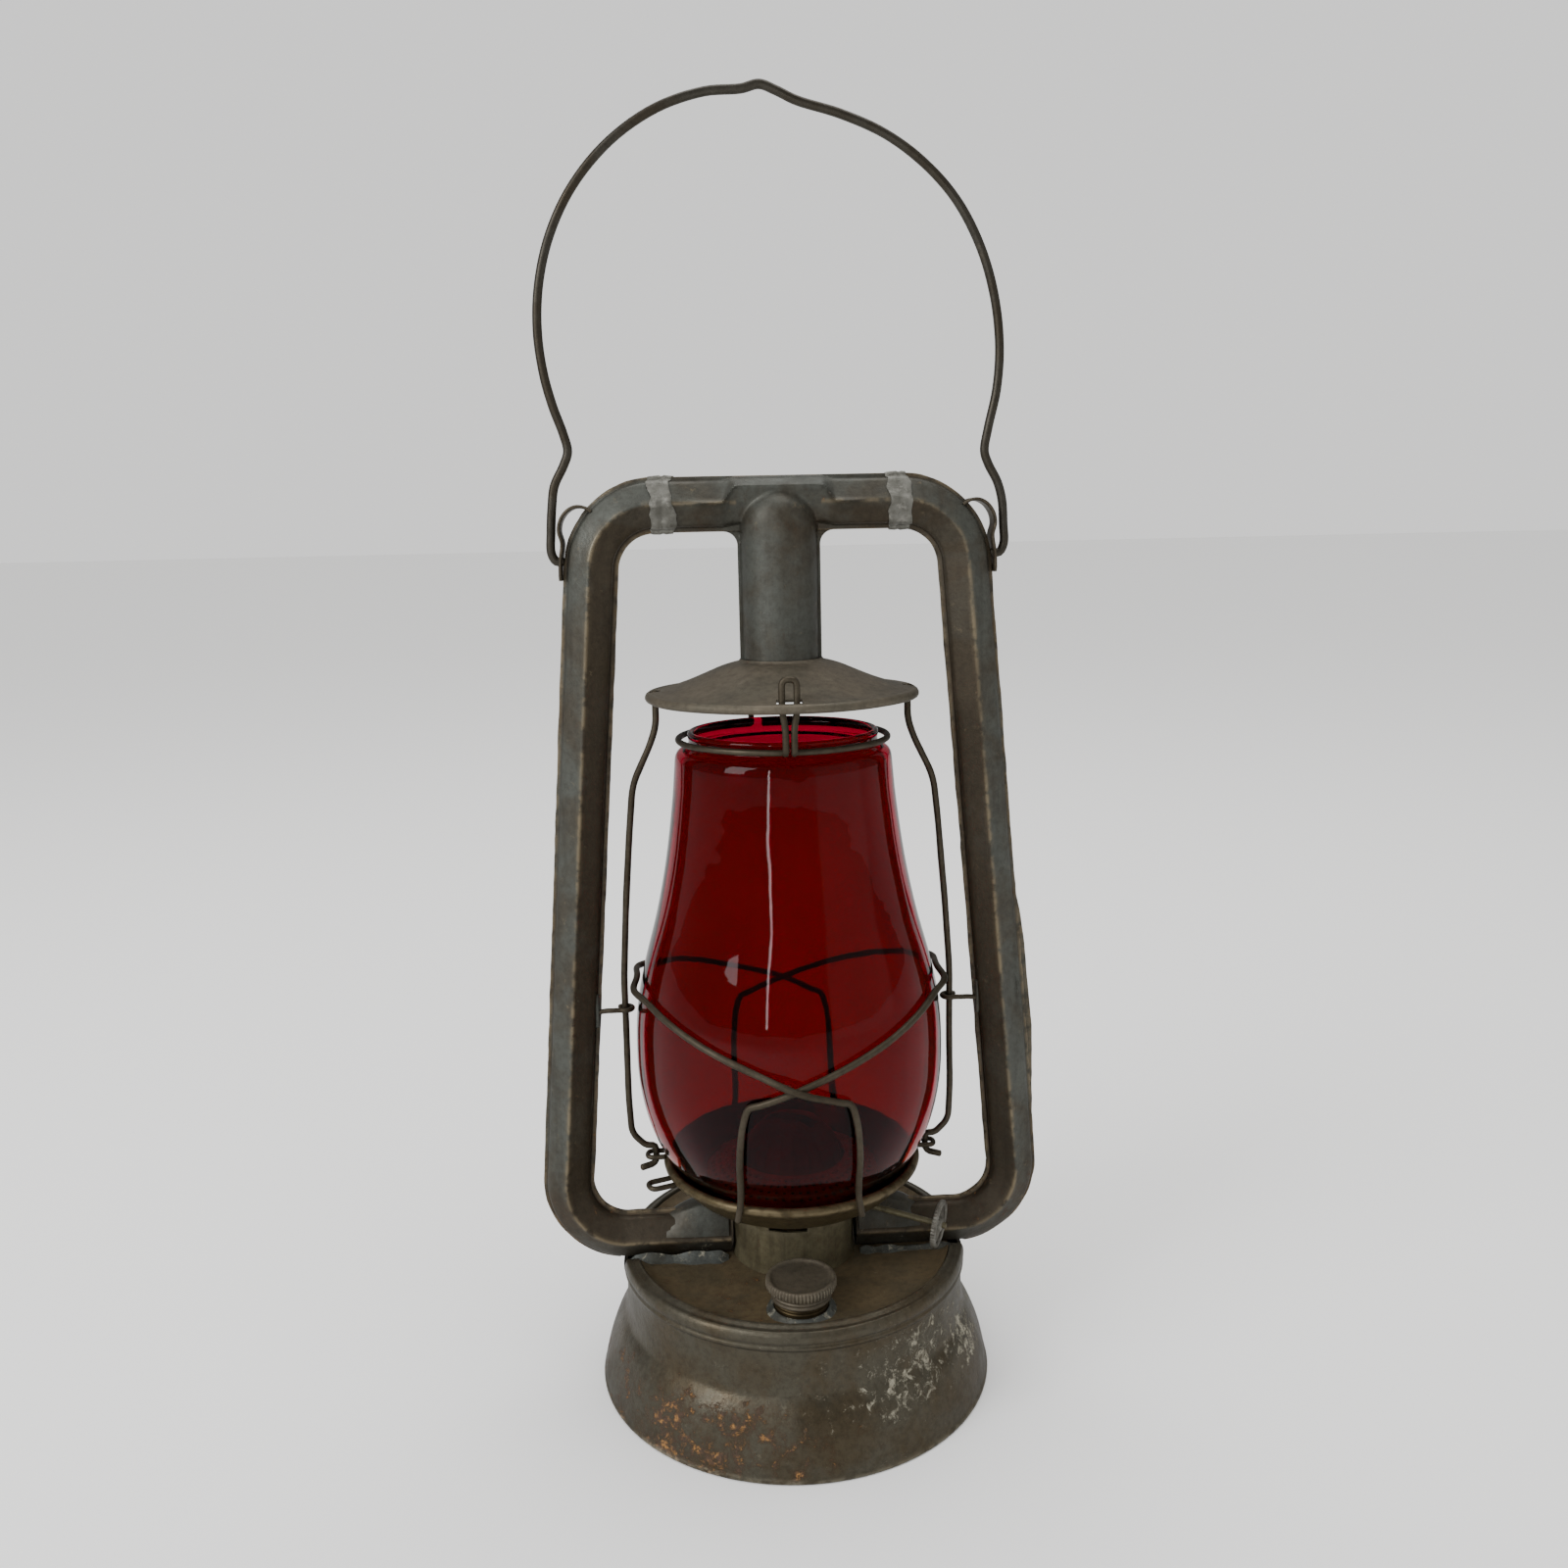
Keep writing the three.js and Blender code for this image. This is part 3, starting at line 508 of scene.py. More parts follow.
# The disc's colour is lightened as painted light, making up for the shadow that the globe casts on it.
DISC = aged_metal("fount_disc_steel", (108, 94, 70), (88, 80, 62), (120, 112, 92), rust=0.7,
                  patch=45, streaks=0.0, rough=(0.4, 0.65), metallic=0.4)
CANOPY = aged_metal("canopy_steel", (102, 94, 80), (86, 82, 70), (124, 116, 100), rust=0.5,
                    streaks=0.1, rough=(0.42, 0.66), metallic=0.6)
# The chamber's colour is lightened as painted light, making up for the shadow that the globe casts on it.
CHAMBER = aged_metal("chamber_steel", (112, 106, 82), (86, 78, 58), (134, 128, 106), rust=0.5,
                     patch=48, streaks=0.4, metallic=0.55)
WIRE = aged_metal("wire_steel", (82, 75, 62), (66, 58, 45), (108, 100, 86), rust=0.5,
                  patch=60, streaks=0.0, rough=(0.36, 0.6))
BAIL = aged_metal("bail_steel", (70, 67, 60), (61, 53, 40), (108, 102, 90), rust=0.1,
                  patch=40, streaks=0.0, rough=(0.30, 0.5), grain=0.00005)
PLATE = aged_metal("plate_steel", (90, 79, 54), (74, 64, 45), (118, 106, 80), rust=0.5,
                   patch=50, streaks=0.1, rough=(0.36, 0.6))
BRASS = aged_metal("old_brass", (92, 79, 54), (66, 57, 40), (126, 110, 78), rust=0.4,
                   patch=70, streaks=0.1, metallic=0.85)
ZINC = aged_metal("old_zinc", (116, 113, 104), (92, 88, 80), (148, 146, 138), rust=0.1,
                  patch=90, streaks=0.1, rough=(0.4, 0.6))
# The dome's light orange is partly rust and partly painted light, lightened to make up for the light that
# the glass keeps from it.
DOME = aged_metal("dome_steel", (176, 122, 78), (140, 96, 62), (196, 150, 110), rust=1.2,
                  patch=60, streaks=0.0, rough=(0.4, 0.6), metallic=0.25)
SOLDER = solder_metal()
SADDLE = aged_metal("saddle_solder", (98, 102, 98), (76, 74, 64), (130, 130, 122), rust=0.5,
                    patch=80, streaks=0.2, chalk=0.8, rough=(0.4, 0.6), metallic=0.6)
GLASS = ruby_glass()
COTTON = plain_cloth("wick_cotton", linear(196, 184, 152), linear(150, 138, 110))
CORK = plain_cloth("cork", linear(134, 98, 60), linear(104, 74, 44))


# --- shared dimensions

DISC_Z = 47.0
CROSSBAR_Z = 332.8
LOWER_TUBE_Z = 55.4
BEND_R = 23.0
JOINT_X = 42.6
TUBE_END_X = 24.2
LEG_LEAN = 0.083
CHIMNEY_R = 13.6
CHIMNEY_DOME_Z = 325.0
SEAM = 0.12
FILLER = (0.0, -44.0)
BAIL_HINGE_Z = 314.0
GUIDE_X, GUIDE_Z = 61.6, 147.5
WIRE_R = 1.25
PLATE_RIM_R = 49.3


def leg_x(z):
    return 67.65 + LEG_LEAN * (300 - z)


# --- fount


def fount_marks(a, r, z):
    """Rust along the lower left and front, chalk on the right."""
    front = math.cos(a + math.pi / 2)
    left = -math.cos(a)
    p = polar(r, a, z)
    low = smoothstep((36 - z) / 22)
    rust = max(0.0, 0.9 * smoothstep((left + 0.25) / 0.7) * low * smoothstep((front + 0.6) / 0.8))
    rust += 0.35 * low * max(0.0, front)
    side = smoothstep((math.cos(a) + 0.3) / 0.9) * smoothstep((front + 0.5) / 0.8)
    chalk = 1.2 * side * smoothstep((z - 8) / 12) * smoothstep((47 - z) / 6)
    chalk += 0.35 * bump(z, 3.5, 3) * max(0.0, front)
    chalk *= 0.65 + 0.6 * wobble(p, 24, 3.1)
    rust *= 0.75 + 0.5 * wobble(p, 20, 7.7)
    worn = bump(z, 0.6, 1.0) + 0.2 * bump(z, 50.9, 0.5) + 0.3 * bump(z, 52.2, 0.25)
    return min(1.0, worn), rust, max(0.0, chalk)


def fount_dents(a, r, z):
    p = polar(r, a, z)
    if z < 0.8:
        return r, z
    fade = smoothstep(z / 8) * smoothstep((46 - z) / 8)
    flow = 0.34 * wobble(p, 30, 1.3) + 0.12 * wobble(p, 11, 4.9)
    dimple = -0.8 * math.exp(-(((a - math.radians(250)) / 0.12) ** 2 + ((z - 14) / 5.0) ** 2))
    return r + fade * (flow + dimple), z


def fount_shell():
    outer = [(75.2, 0.0), (75.6, 0.35), (75.75, 0.9), (75.6, 1.5), (75.3, 1.9)]
    outer += curved_profile(
        [(75.1, 2.6), (74.8, 4.4), (74.0, 8.0), (72.9, 12.4), (71.3, 17.0), (69.5, 21.2), (67.6, 24.4),
         (66.1, 26.7), (65.45, 29.4), (65.2, 33.0), (65.1, 38.0), (65.2, 43.2)], 3)
    outer += [(65.3, 44.0), (65.8, 44.4), (66.15, 44.8), (66.2, 45.3), (66.0, 45.8), (65.7, 46.2),
              (65.8, 46.7), (66.15, 47.2), (66.3, 47.9), (66.25, 48.8), (66.0, 49.7), (65.6, 50.5),
              (65.1, 51.1), (64.4, 51.25), (63.7, 51.2), (63.1, 51.45), (62.5, 51.9), (61.8, 52.2),
              (61.2, 52.2), (60.9, 51.8), (60.85, 51.2)]
    inner = [(61.2, 51.0), (63.6, 50.5), (64.7, 49.4), (65.0, 47.6), (64.2, 44.0), (64.0, 33.0),
             (64.8, 27.0), (69.9, 17.2), (72.6, 8.0), (74.1, 1.2), (74.3, 0.0)]
    outside, rolled = len(outer), 21
    build = Build()

    def shape(i, a, r, z):
        rr, zz = fount_dents(a, r, z) if i < outside - rolled else (r, z)
        across = abs(r * math.sin(a)) if abs(math.cos(a)) > 0.5 else 99
        if across < 11.5 and z > 45.0:
            dip = smoothstep((11.5 - across) / 2.5)
            zz = zz - dip * max(0.0, zz - 45.2)
        return rr, zz

    def marks(i, a, r, z):
        return fount_marks(a, r, z) if i < outside else (0, 0, 0)

    build.revolve(outer + inner, 144, shape, marks)
    build.finish("fount_wall", FOUNT, "frame", ("fount_shell",), angle=50)


def fount_disc():
    build = Build()
    top = [(60.5, 50.7), (60.5, 51.3), (59.8, 50.7), (58.4, 49.5), (56.6, 48.6), (54.6, 47.9), (52.0, 47.4),
           (48.5, 47.1), (40, 47.05), (32, 47.0), (26, 47.0), (18, 47.0)]
    bottom = [(18, 46.1), (40, 46.1), (54, 46.2), (60.5, 46.3)]

    def shape(i, a, r, z):
        p = polar(r, a, z)
        if abs(p[1]) < 10.0 and abs(p[0]) > 40.0:
            z = min(z, 47.1)
        return r, z + (0.14 * wobble(p, 16, 2.2) if i < len(top) and r < 60 else 0.0)

    def marks(i, a, r, z):
        p = polar(r, a, z)
        left_front = smoothstep((-p[0] + 22) / 40) * smoothstep((-p[1] - 6) / 20)
        return 0.0, 0.75 * left_front * (0.6 + 0.6 * wobble(p, 14, 9.2)), 0.12

    build.revolve(top + bottom, 120, shape, marks)
    build.finish("fount_disc", DISC, "frame", ("fount_top",), angle=50)

    collar = Build()
    profile = [(10.1, 46.6), (12.9, 46.8), (12.4, 47.3), (11.9, 47.7), (11.4, 48.1), (10.9, 48.6),
               (10.5, 49.1), (10.1, 49.1)]

    def uneven(i, a, r, z):
        return r + (0.7 * wobble(polar(r, a, z), 5, 6) if 1 <= i <= 4 else 0), z

    collar.revolve(profile, 64, uneven, centre=FILLER)
    collar.finish("filler_solder_ring", SADDLE, "frame", angle=60)


# --- filler


def filler():
    neck = Build()
    outer = [(9.9, 45.0)]
    z = 49.6
    while z < 55.0:
        outer += [(9.7, z), (10.0, z + 0.35), (10.0, z + 0.6), (9.7, z + 0.95)]
        z += 1.15
    neck.revolve(outer + [(9.8, 56.3), (8.9, 56.3), (8.9, 45.0)], 64, centre=FILLER)
    neck.finish("filler_neck_thread", BRASS, "frame", ("filler_neck",))

    cap = Build()
    teeth = 60
    profile = [(0, 59.0), (6, 59.0), (9.6, 59.0), (10.4, 59.1), (10.9, 59.45), (11.3, 59.9), (11.8, 60.0),
               (12.3, 59.8), (12.5, 59.4), (12.55, 58.8), (12.55, 57.6), (12.5, 56.8), (12.2, 56.3),
               (11.6, 56.0), (10.9, 55.7), (10.7, 55.2), (11.1, 54.8), (11.1, 54.4), (10.7, 54.0),
               (10.7, 53.6), (11.05, 53.2), (11.05, 52.8), (10.8, 52.5), (10.35, 52.5), (10.35, 58.1),
               (0, 58.1)]

    def knurl(i, a, r, z):
        if 8 <= i <= 12:
            r += 0.34 * max(-0.8, math.sin(teeth * a)) * (1 if 9 <= i <= 11 else 0.5) - 0.1
        return r, z

    def marks(i, a, r, z):
        crest = 9 <= i <= 12 and math.sin(teeth * a) > 0.2
        return (1.0 if crest or 5 <= i <= 6 else 0.1), 0.1, (0.9 if crest else 0.0)

    cap.revolve(profile, teeth * 8, knurl, marks, centre=FILLER, closed=False)
    cap.finish("filler_cap_knurled", CANOPY, "cap", ("filler_cap",), angle=50)


# --- side tubes

SECTION_OUT = [(-9.6, SEAM), (-9.68, 0.5), (-9.55, 0.85), (-9.2, 1.0), (-8.5, 1.05), (-8.2, 1.2),
               (-8.05, 1.8), (-7.9, 2.7), (-7.6, 3.55), (-7.0, 4.15), (-5.6, 5.1), (-3.8, 6.3),
               (-2.0, 7.5), (-1.1, 8.15), (-0.65, 8.48), (-0.2, 8.62), (0.25, 8.48), (0.7, 8.15),
               (1.6, 7.5), (3.6, 6.25), (5.5, 5.05), (7.0, 4.1), (7.6, 3.5), (7.9, 2.7), (8.05, 1.8),
               (8.2, 1.2), (8.5, 1.05), (9.2, 1.0), (9.55, 0.85), (9.68, 0.5), (9.6, SEAM)]
SECTION_IN = [(7.3, SEAM), (6.95, 3.1), (4.4, 4.8), (-0.2, 7.5), (-4.4, 4.8), (-6.95, 3.1), (-7.3, SEAM)]
LIP_WORN = [0.9, 1, 1, 0.6, 0.2]
SECTION_WORN = LIP_WORN + [0.0] * 8 + [0.2, 0.7, 1.0, 0.7, 0.2] + [0.0] * 8 + LIP_WORN[::-1]


def tube_path():
    lean = math.atan(LEG_LEAN)
    top_x = leg_x(CROSSBAR_Z) - BEND_R * math.tan((math.pi / 2 - lean) / 2)
    low_x = leg_x(LOWER_TUBE_Z) - BEND_R * math.tan((math.pi / 2 + lean) / 2)
    top_z, low_z = CROSSBAR_Z - BEND_R, LOWER_TUBE_Z + BEND_R

    def arc(cx, cz, start, end, pieces):
        return [np.array((cx + BEND_R * math.cos(start + (end - start) * k / pieces), 0.0,
                          cz + BEND_R * math.sin(start + (end - start) * k / pieces)))
                for k in range(pieces + 1)]

    upper = arc(top_x, top_z, math.pi / 2, lean, 20)
    lower = arc(low_x, low_z, lean, -math.pi / 2, 22)
    path = [np.array((JOINT_X + 0.3, 0.0, CROSSBAR_Z)), *upper]
    leg_steps, end_steps = 70, 14
    path += [upper[-1] + (lower[0] - upper[-1]) * k / leg_steps for k in range(1, leg_steps)]
    path += lower
    run = np.array((TUBE_END_X, 0.0, LOWER_TUBE_Z)) - lower[-1]
    path += [lower[-1] + run * k / end_steps for k in range(1, end_steps + 1)]
    return path


def side_tube(side, front):
    """One pressed half of a side tube. side is 1 on the right, front is -1 for the half in front."""
    path = tube_path()
    section = SECTION_OUT + SECTION_IN
    outer_count = len(SECTION_OUT)
    seed = 3.0 * side + 1.7 * front
    build = Build()
    rings = []
    ways = headings(path)
    ways[0], ways[-1] = RIGHT, -RIGHT
    for i, p in enumerate(path):
        inward = np.cross(BACK, ways[i])
        ring = []
        for k, (x, y) in enumerate(section):
            lip = k < 4 or outer_count - 4 <= k < outer_count
            q = p + inward * x + BACK * (front * y)
            if k < outer_count and 0 < i < len(path) - 1:
                flow = 0.20 * wobble(q, 24, seed) + 0.07 * wobble(q, 8, seed + 2)
                q = q + BACK * (front * flow * smoothstep((y - 1) / 3))
                if lip:
                    q = q + inward * (0.28 * wobble(q, 7, seed + 4) * np.sign(x))
                    nick = max(0.0, wobble((0, 0, q[2] + q[0]), 2.6, seed + side) - 0.42)
                    q = q - inward * np.sign(x) * 1.2 * nick
            if side > 0 and x < -7 and k < outer_count:
                bow = bump(p[2], 138, 30) + 0.5 * bump(p[2], 170, 14)
                q = q - inward * bow * (2.6 if front > 0 else 0.5)
            if side > 0 and front < 0 and -7 <= x < -1 and k < outer_count:
                q = q + BACK * 1.5 * bump(p[2], 150, 16) * bump(x, -5.5, 3.0)
            if q[2] < DISC_Z + 0.3 and abs(q[0]) < 66:
                q[2] = DISC_Z + 0.3 - 0.02 * k / len(section)
            ring.append(q)
        rings.append(ring)
    made = build.loft(rings, SECTION_WORN + [0.0] * len(SECTION_IN))
    for ring in made:
        for k, v in enumerate(ring[:outer_count]):
            q, x = build.verts[v], section[k][0]
            low = smoothstep((92 - q[2]) / 30)
            build.masks["rust"][v] = 0.35 * low + (0.35 if abs(x) > 8 else 0.0)
            patchy = max(0.0, wobble(q, 30, seed + 8)) * (1 if x > 0 or side < 0 else 0.5)
            patchy *= smoothstep((240 - q[2]) / 60)
            build.masks["chalk"][v] = 0.55 * patchy + 0.45 * low * bump(q[0], 34, 18)
            build.masks["worn"][v] *= 0.45 + 0.55 * smoothstep(0.5 + wobble(q, 18, seed + 1))
            # Painted shade, with some brown of its own: the inner facet, facing into the lantern, is made
            # browner; the outer lip and the part near the fount are browner too.
            inner_facet_brown_and_shade = 0.8 * smoothstep((x + 0.4) / 0.8)
            build.masks["brown_and_painted_light"][v] = inner_facet_brown_and_shade + 0.5 * bump(x, -9.3, 0.8) + 0.4 * low
    part = "tube_front" if front < 0 else "tube_rear"
    build.finish_side(side, part, "_pressing", TUBE, "frame", 48)


# --- T piece


def section_height(x, ridge):
    """The pressed section's height over the seam at x, with its ridge moved to the given place."""
    pts = [(-a, b) for a, b in SECTION_OUT[1:-1]][::-1]
    xs = np.array([p[0] for p in pts])
    ys = np.array([p[1] for p in pts])
    if x > ridge:
        x = 0.2 + (x - ridge) * 9.4 / max(0.6, 9.6 - ridge)
    else:
        x = 0.2 + (x - ridge) * 9.8 / (9.6 + ridge)
    return float(np.interp(x, xs, ys))


def smooth_max(a, b, k):
    h = max(0.0, k - abs(a - b)) / k
    return max(a, b) + h * h * k / 4


def tee_height(x, z):
    ax = abs(x)
    lift = 5.6 * smoothstep((20.5 - ax) / 5.5)
    bar = section_height(z - CROSSBAR_Z, 0.2 + lift) if z > 323.1 else 0.95
    if z > 324:
        ridge = 0.75 * bump(z - CROSSBAR_Z, 0.2 + lift, 0.6) * smoothstep((ax - 13.5) / 2)
        bar += ridge * smoothstep((30 - ax) / 8 + 0.35)
    if z <= CHIMNEY_DOME_Z:
        inside = CHIMNEY_R ** 2 - ax ** 2
    else:
        inside = CHIMNEY_R ** 2 - ax ** 2 - (z - CHIMNEY_DOME_Z) ** 2
    tube = math.sqrt(inside) if inside > 0 else 0.0
    flare = 1.6 * smoothstep((273 - z) / 5)
    tube += flare * (1 if tube > 2 else tube / 2)
    return max(0.95, smooth_max(bar, tube, 2.2))


def tee(front):
    """One pressed half of the crossbar with the chimney under it."""
    bar_low, bar_high, stem_low, stem_half, fillet = 323.2, 342.4, 268.0, 14.7, 5.0
    flare_half = stem_half + fillet

    def half_width(z):
        """Half the stem's width at z, with a rounded corner where it meets the bar."""
        d = max(0.0, z - (bar_low - fillet))
        return stem_half + fillet - math.sqrt(max(0.0, fillet ** 2 - d * d))

    inner_cols = list(np.linspace(-flare_half, flare_half, 71))
    left_cols = list(np.linspace(-JOINT_X, -flare_half, 20))[:-1]
    columns = left_cols + inner_cols + [-c for c in reversed(left_cols)]
    first = len(left_cols)
    last = first + len(inner_cols)
    bar_rows = list(np.linspace(bar_low, bar_high, 60))
    stem_rows = list(np.linspace(stem_low, 317.8, 42)) + list(np.linspace(318.2, 323.0, 12))
    build = Build()
    seed = 11.0 + front

    def layer(inner):
        grid = {}
        for j, z in enumerate(stem_rows + bar_rows):
            stem = j < len(stem_rows)
            for i, x in enumerate(columns):
                if stem and not first <= i < last:
                    continue
                xx = x * half_width(z) / flare_half if stem else x
                h = tee_height(xx, z)
                flow = 0.16 * wobble((xx, front * h, z), 20, seed) + 0.06 * wobble((xx, 0, z), 7, seed + 1)
                h += flow * smoothstep((h - 1) / 3)
                edge = h < 1.0
                if inner:
                    h = SEAM if h < 1.6 else max(SEAM, h - 0.9)
                worn = 0.8 if edge else 0.6 * bump(z - CROSSBAR_Z, 0.2, 0.7) * (1 if abs(xx) > 15 else 0)
                rust = 0.5 if edge else 0.3 * bump(z, 271, 4) + 0.3 * bump(z, 324, 5)
                # Painted shade: browner along the underside of the bar and down into its fillet with the
                # stem; the pressing's edges are browner as dark seams.
                brown_and_painted_light = 0.3 * smoothstep((CROSSBAR_Z - z) / 3) * smoothstep((z - 318) / 6)
                brown_and_painted_light += 0.5 if edge else 0.0
                grid[i, j] = build.vert((xx, front * h, z), worn, rust, 0.2 * bump(z, 270, 3), brown_and_painted_light)
        return grid

    outer, inner = layer(False), layer(True)
    rows = len(stem_rows) + len(bar_rows)
    cells = [(i, j) for j in range(rows - 1) for i in range(len(columns) - 1)
             if all((i + a, j + b) in outer for a in (0, 1) for b in (0, 1))]
    build.plate(outer, inner, cells)
    name = "tee_front" if front < 0 else "tee_rear"
    build.finish(name + "_pressing", TUBE, "frame", (name,), angle=48)


def joint_band(side):
    """The ragged solder round the joint between the T piece and a side tube."""
    half = SECTION_OUT[2:-2]
    loop = [(x, -y) for x, y in half] + [(x, y) for x, y in reversed(half)]
    loop = [np.array(p) for p in loop]
    loop = [p for p in resampled(loop + [loop[0]], 1.1)][:-1]
    build = Build()
    count = len(loop)
    centre = JOINT_X + (0.2 if side > 0 else -1.7)
    rows = [(-1.0, 0.02), (-1.0, 0.3), (-0.7, 0.5), (-0.25, 0.62), (-0.08, 0.34), (0.08, 0.36), (0.25, 0.62),
            (0.7, 0.5), (1.0, 0.28), (1.0, 0.02)]
    rings = []
    for n, (u, lift) in enumerate(rows):
        ring = []
        for k, p in enumerate(loop):
            a = loop[k - 1]
            b = loop[(k + 1) % count]
            t = (b - a) / np.linalg.norm(b - a)
            outward = np.array((t[1], -t[0]))
            if np.dot(outward, p) < 0:
                outward = -outward
            end = 4.0 + 2.6 * wobble((p[0], p[1] * (1 if u > 0 else -1), 0), 7, side * 5 + u)
            end += 0.5 * wobble((p[0], p[1], 0), 2.0, side + u)
            x = centre + u * end
            rise = lift * (1 + 0.35 * wobble((x, p[0], p[1]), 3, 2.0))
            q = p + outward * (rise + (0.12 if 0 < n < len(rows) - 1 else 0))
            ring.append(np.array((x, q[1], CROSSBAR_Z - q[0])))
        rings.append(ring)
    build.bridge_all([build.ring(r) for r in rings], closed=True)
    build.finish_side(side, "joint_band", "_ragged", SOLDER, "frame", 60)


# --- canopy, ears and guide eyes


def canopy():
    sides, slot_from, hole_from, open_to = 252, 42.0, 44.0, 46.0
    top = curved_profile([(14.9, 278.0), (15.6, 277.2), (18, 276.6), (22, 275.4), (27, 273.3), (34, 270.4),
                          (40, 268.3)], 3)
    top += [(41.3, 267.95), (42.0, 267.75), (43.0, 267.5), (44.0, 267.25), (45.0, 267.05), (46.0, 266.85)]
    bead = [(46.8, 266.65), (47.6, 266.75), (48.5, 266.65), (49.2, 266.15), (49.6, 265.35), (49.6, 264.6),
            (49.2, 263.9), (48.5, 263.5), (47.7, 263.55), (47.1, 264.1), (46.9, 264.9)]
    bottom = [(46.0, 265.85), (45.0, 266.1), (44.0, 266.3), (43.0, 266.55), (42.0, 266.8), (38, 268.0),
              (28, 272.0), (16.4, 275.9), (14.9, 276.2)]

    def opening(degrees, half, start):
        low = [i for i, (r, z) in enumerate(bottom, len(top) + len(bead)) if start <= r <= open_to]
        high = [i for i, (r, z) in enumerate(top) if start <= r <= open_to]
        return int(round(degrees / 360 * sides)), half, high, low

    def shape(i, a, r, z):
        if i < len(top) and r < 41.5:
            x, y, _ = polar(r, a, z)
            e = math.hypot(x / 17.5, (y + 27.5) / 6.6)
            z += 0.30 * bump(e, 1.0, 0.075) - 0.12 * bump(e, 0.80, 0.07)
        if r < 46.5:
            z += 0.16 * wobble(polar(r, a, 0), 17, 6.6)
        if 45.9 < r < 47.65:
            near = smoothstep((0.10 - abs(math.sin(a))) / 0.05)
            r += near * (47.8 + 0.06 * (r - 46) - r)
        if 46.5 <= r:
            z += 0.22 * wobble(polar(50, a, 3), 30, 2.4)
        return r, z

    def marks(i, a, r, z):
        if i >= len(top) + 8:
            return 0.0, 0.3, 0.0
        worn = 0.8 if r > 47.5 else 0.25 * bump(r, 34, 8)
        p = polar(r, a, z)
        return 0.15 * worn, 0.42 * bump(r, 17, 5) + 0.25 * wobble(p, 13, 1.9), 0.1

    loop_slot = opening(270, 4, slot_from)
    wire_holes = [opening(0, 2, hole_from), opening(180, 2, hole_from)]
    build = Build()
    build.revolve_pierced(top + bead + bottom, sides, shape, marks, [loop_slot, *wire_holes])
    build.finish("canopy_pressing", CANOPY, "frame", ("canopy",), angle=50)


def bail_ear(side):
    path = curve_through([(65.6, 0, 331.0), (68.4, 0, 332.5), (71.2, 0, 332.7), (74.2, 0, 331.2),
                          (76.5, 0, 328.0), (77.2, 0, 324.4), (76.3, 0, 320.6), (76.4, 0, 318.4),
                          (76.9, 0, 315.6), (77.2, 0, 313.0), (77.3, 0, 310.0), (77.4, 0, 307.2)], 6)
    path = resampled(path, 1.05)
    nearest = min(range(len(path)), key=lambda i: abs(path[i][2] - BAIL_HINGE_Z))
    hole_r = 2.05
    widths = (-4.5, -4.1, -2.1, 0.0, 2.1, 4.1, 4.5)
    build = Build()

    def grid(lift):
        out = {}
        for i, (p, t) in enumerate(zip(path, headings(path))):
            n = np.cross(t, BACK)
            taper = 1 - 0.25 * smoothstep((i - len(path) + 5) / 4)
            for j, w in enumerate(widths):
                across = BACK * w * taper * (1 + 0.03 * wobble(p, 4, side + w))
                out[j, i] = build.vert(p + n * lift * (0.4 if abs(w) > 4.2 else 1.0) + across, 0.4, 0.4)
        return out

    a, b = grid(0.55), grid(-0.55)
    for g in (a, b):
        for i in range(nearest - 2, nearest + 3):
            for j in (2, 3, 4):
                v = build.verts[g[j, i]]
                dz, dy = (i - nearest) / 2.0, j - 3
                if abs(dz) == 1 or abs(dy) == 1:
                    turn = math.atan2(dz, dy)
                    v[1] = hole_r * math.cos(turn)
                    v[2] = BAIL_HINGE_Z - hole_r * math.sin(turn)
    build.plate(a, b, [(j, i) for i in range(len(path) - 1) for j in range(len(widths) - 1)
                       if not (j in (2, 3) and nearest - 2 <= i <= nearest + 1)])
    keep = sorted({v for f in build.faces for v in f})
    renumber = {v: n for n, v in enumerate(keep)}
    build.faces = [tuple(renumber[v] for v in f) for f in build.faces]
    build.verts = [build.verts[v] for v in keep]
    build.masks = {key: [values[v] for v in keep] for key, values in build.masks.items()}
    build.finish_side(side, "bail_ear", "_strip", WIRE, "frame", 50)


def guide_eye(side):
    reach = 2.75
    anchor = leg_x(GUIDE_Z) - 9.1
    turns = [math.radians(-58 - 29.2 * k) for k in range(10)]
    curl = [(GUIDE_X + reach * math.cos(a), reach * math.sin(a), GUIDE_Z) for a in turns]
    build = Build()
    build.wire(curve_through([(anchor, -1.6, GUIDE_Z - 0.6), (anchor - 2.6, -1.8, GUIDE_Z - 0.2),
                              (GUIDE_X + 4.6, -2.4, GUIDE_Z), *curl], 5), 0.95, 12, 1.0, 0.04, side)
    fillet = Build()
    fillet.wire([(anchor + 0.9, -1.6, GUIDE_Z - 6 + 2 * k) for k in range(7)], 1.15, 10, 1.0, 0.3, side * 3)
    fillet.mirror_left(side)
    fillet.finish(hand(side) + "_guide_eye_solder", TUBE, "frame", angle=60)
    build.finish_side(side, "guide_eye", "_wire", WIRE, "frame")


# --- air chamber and hoods


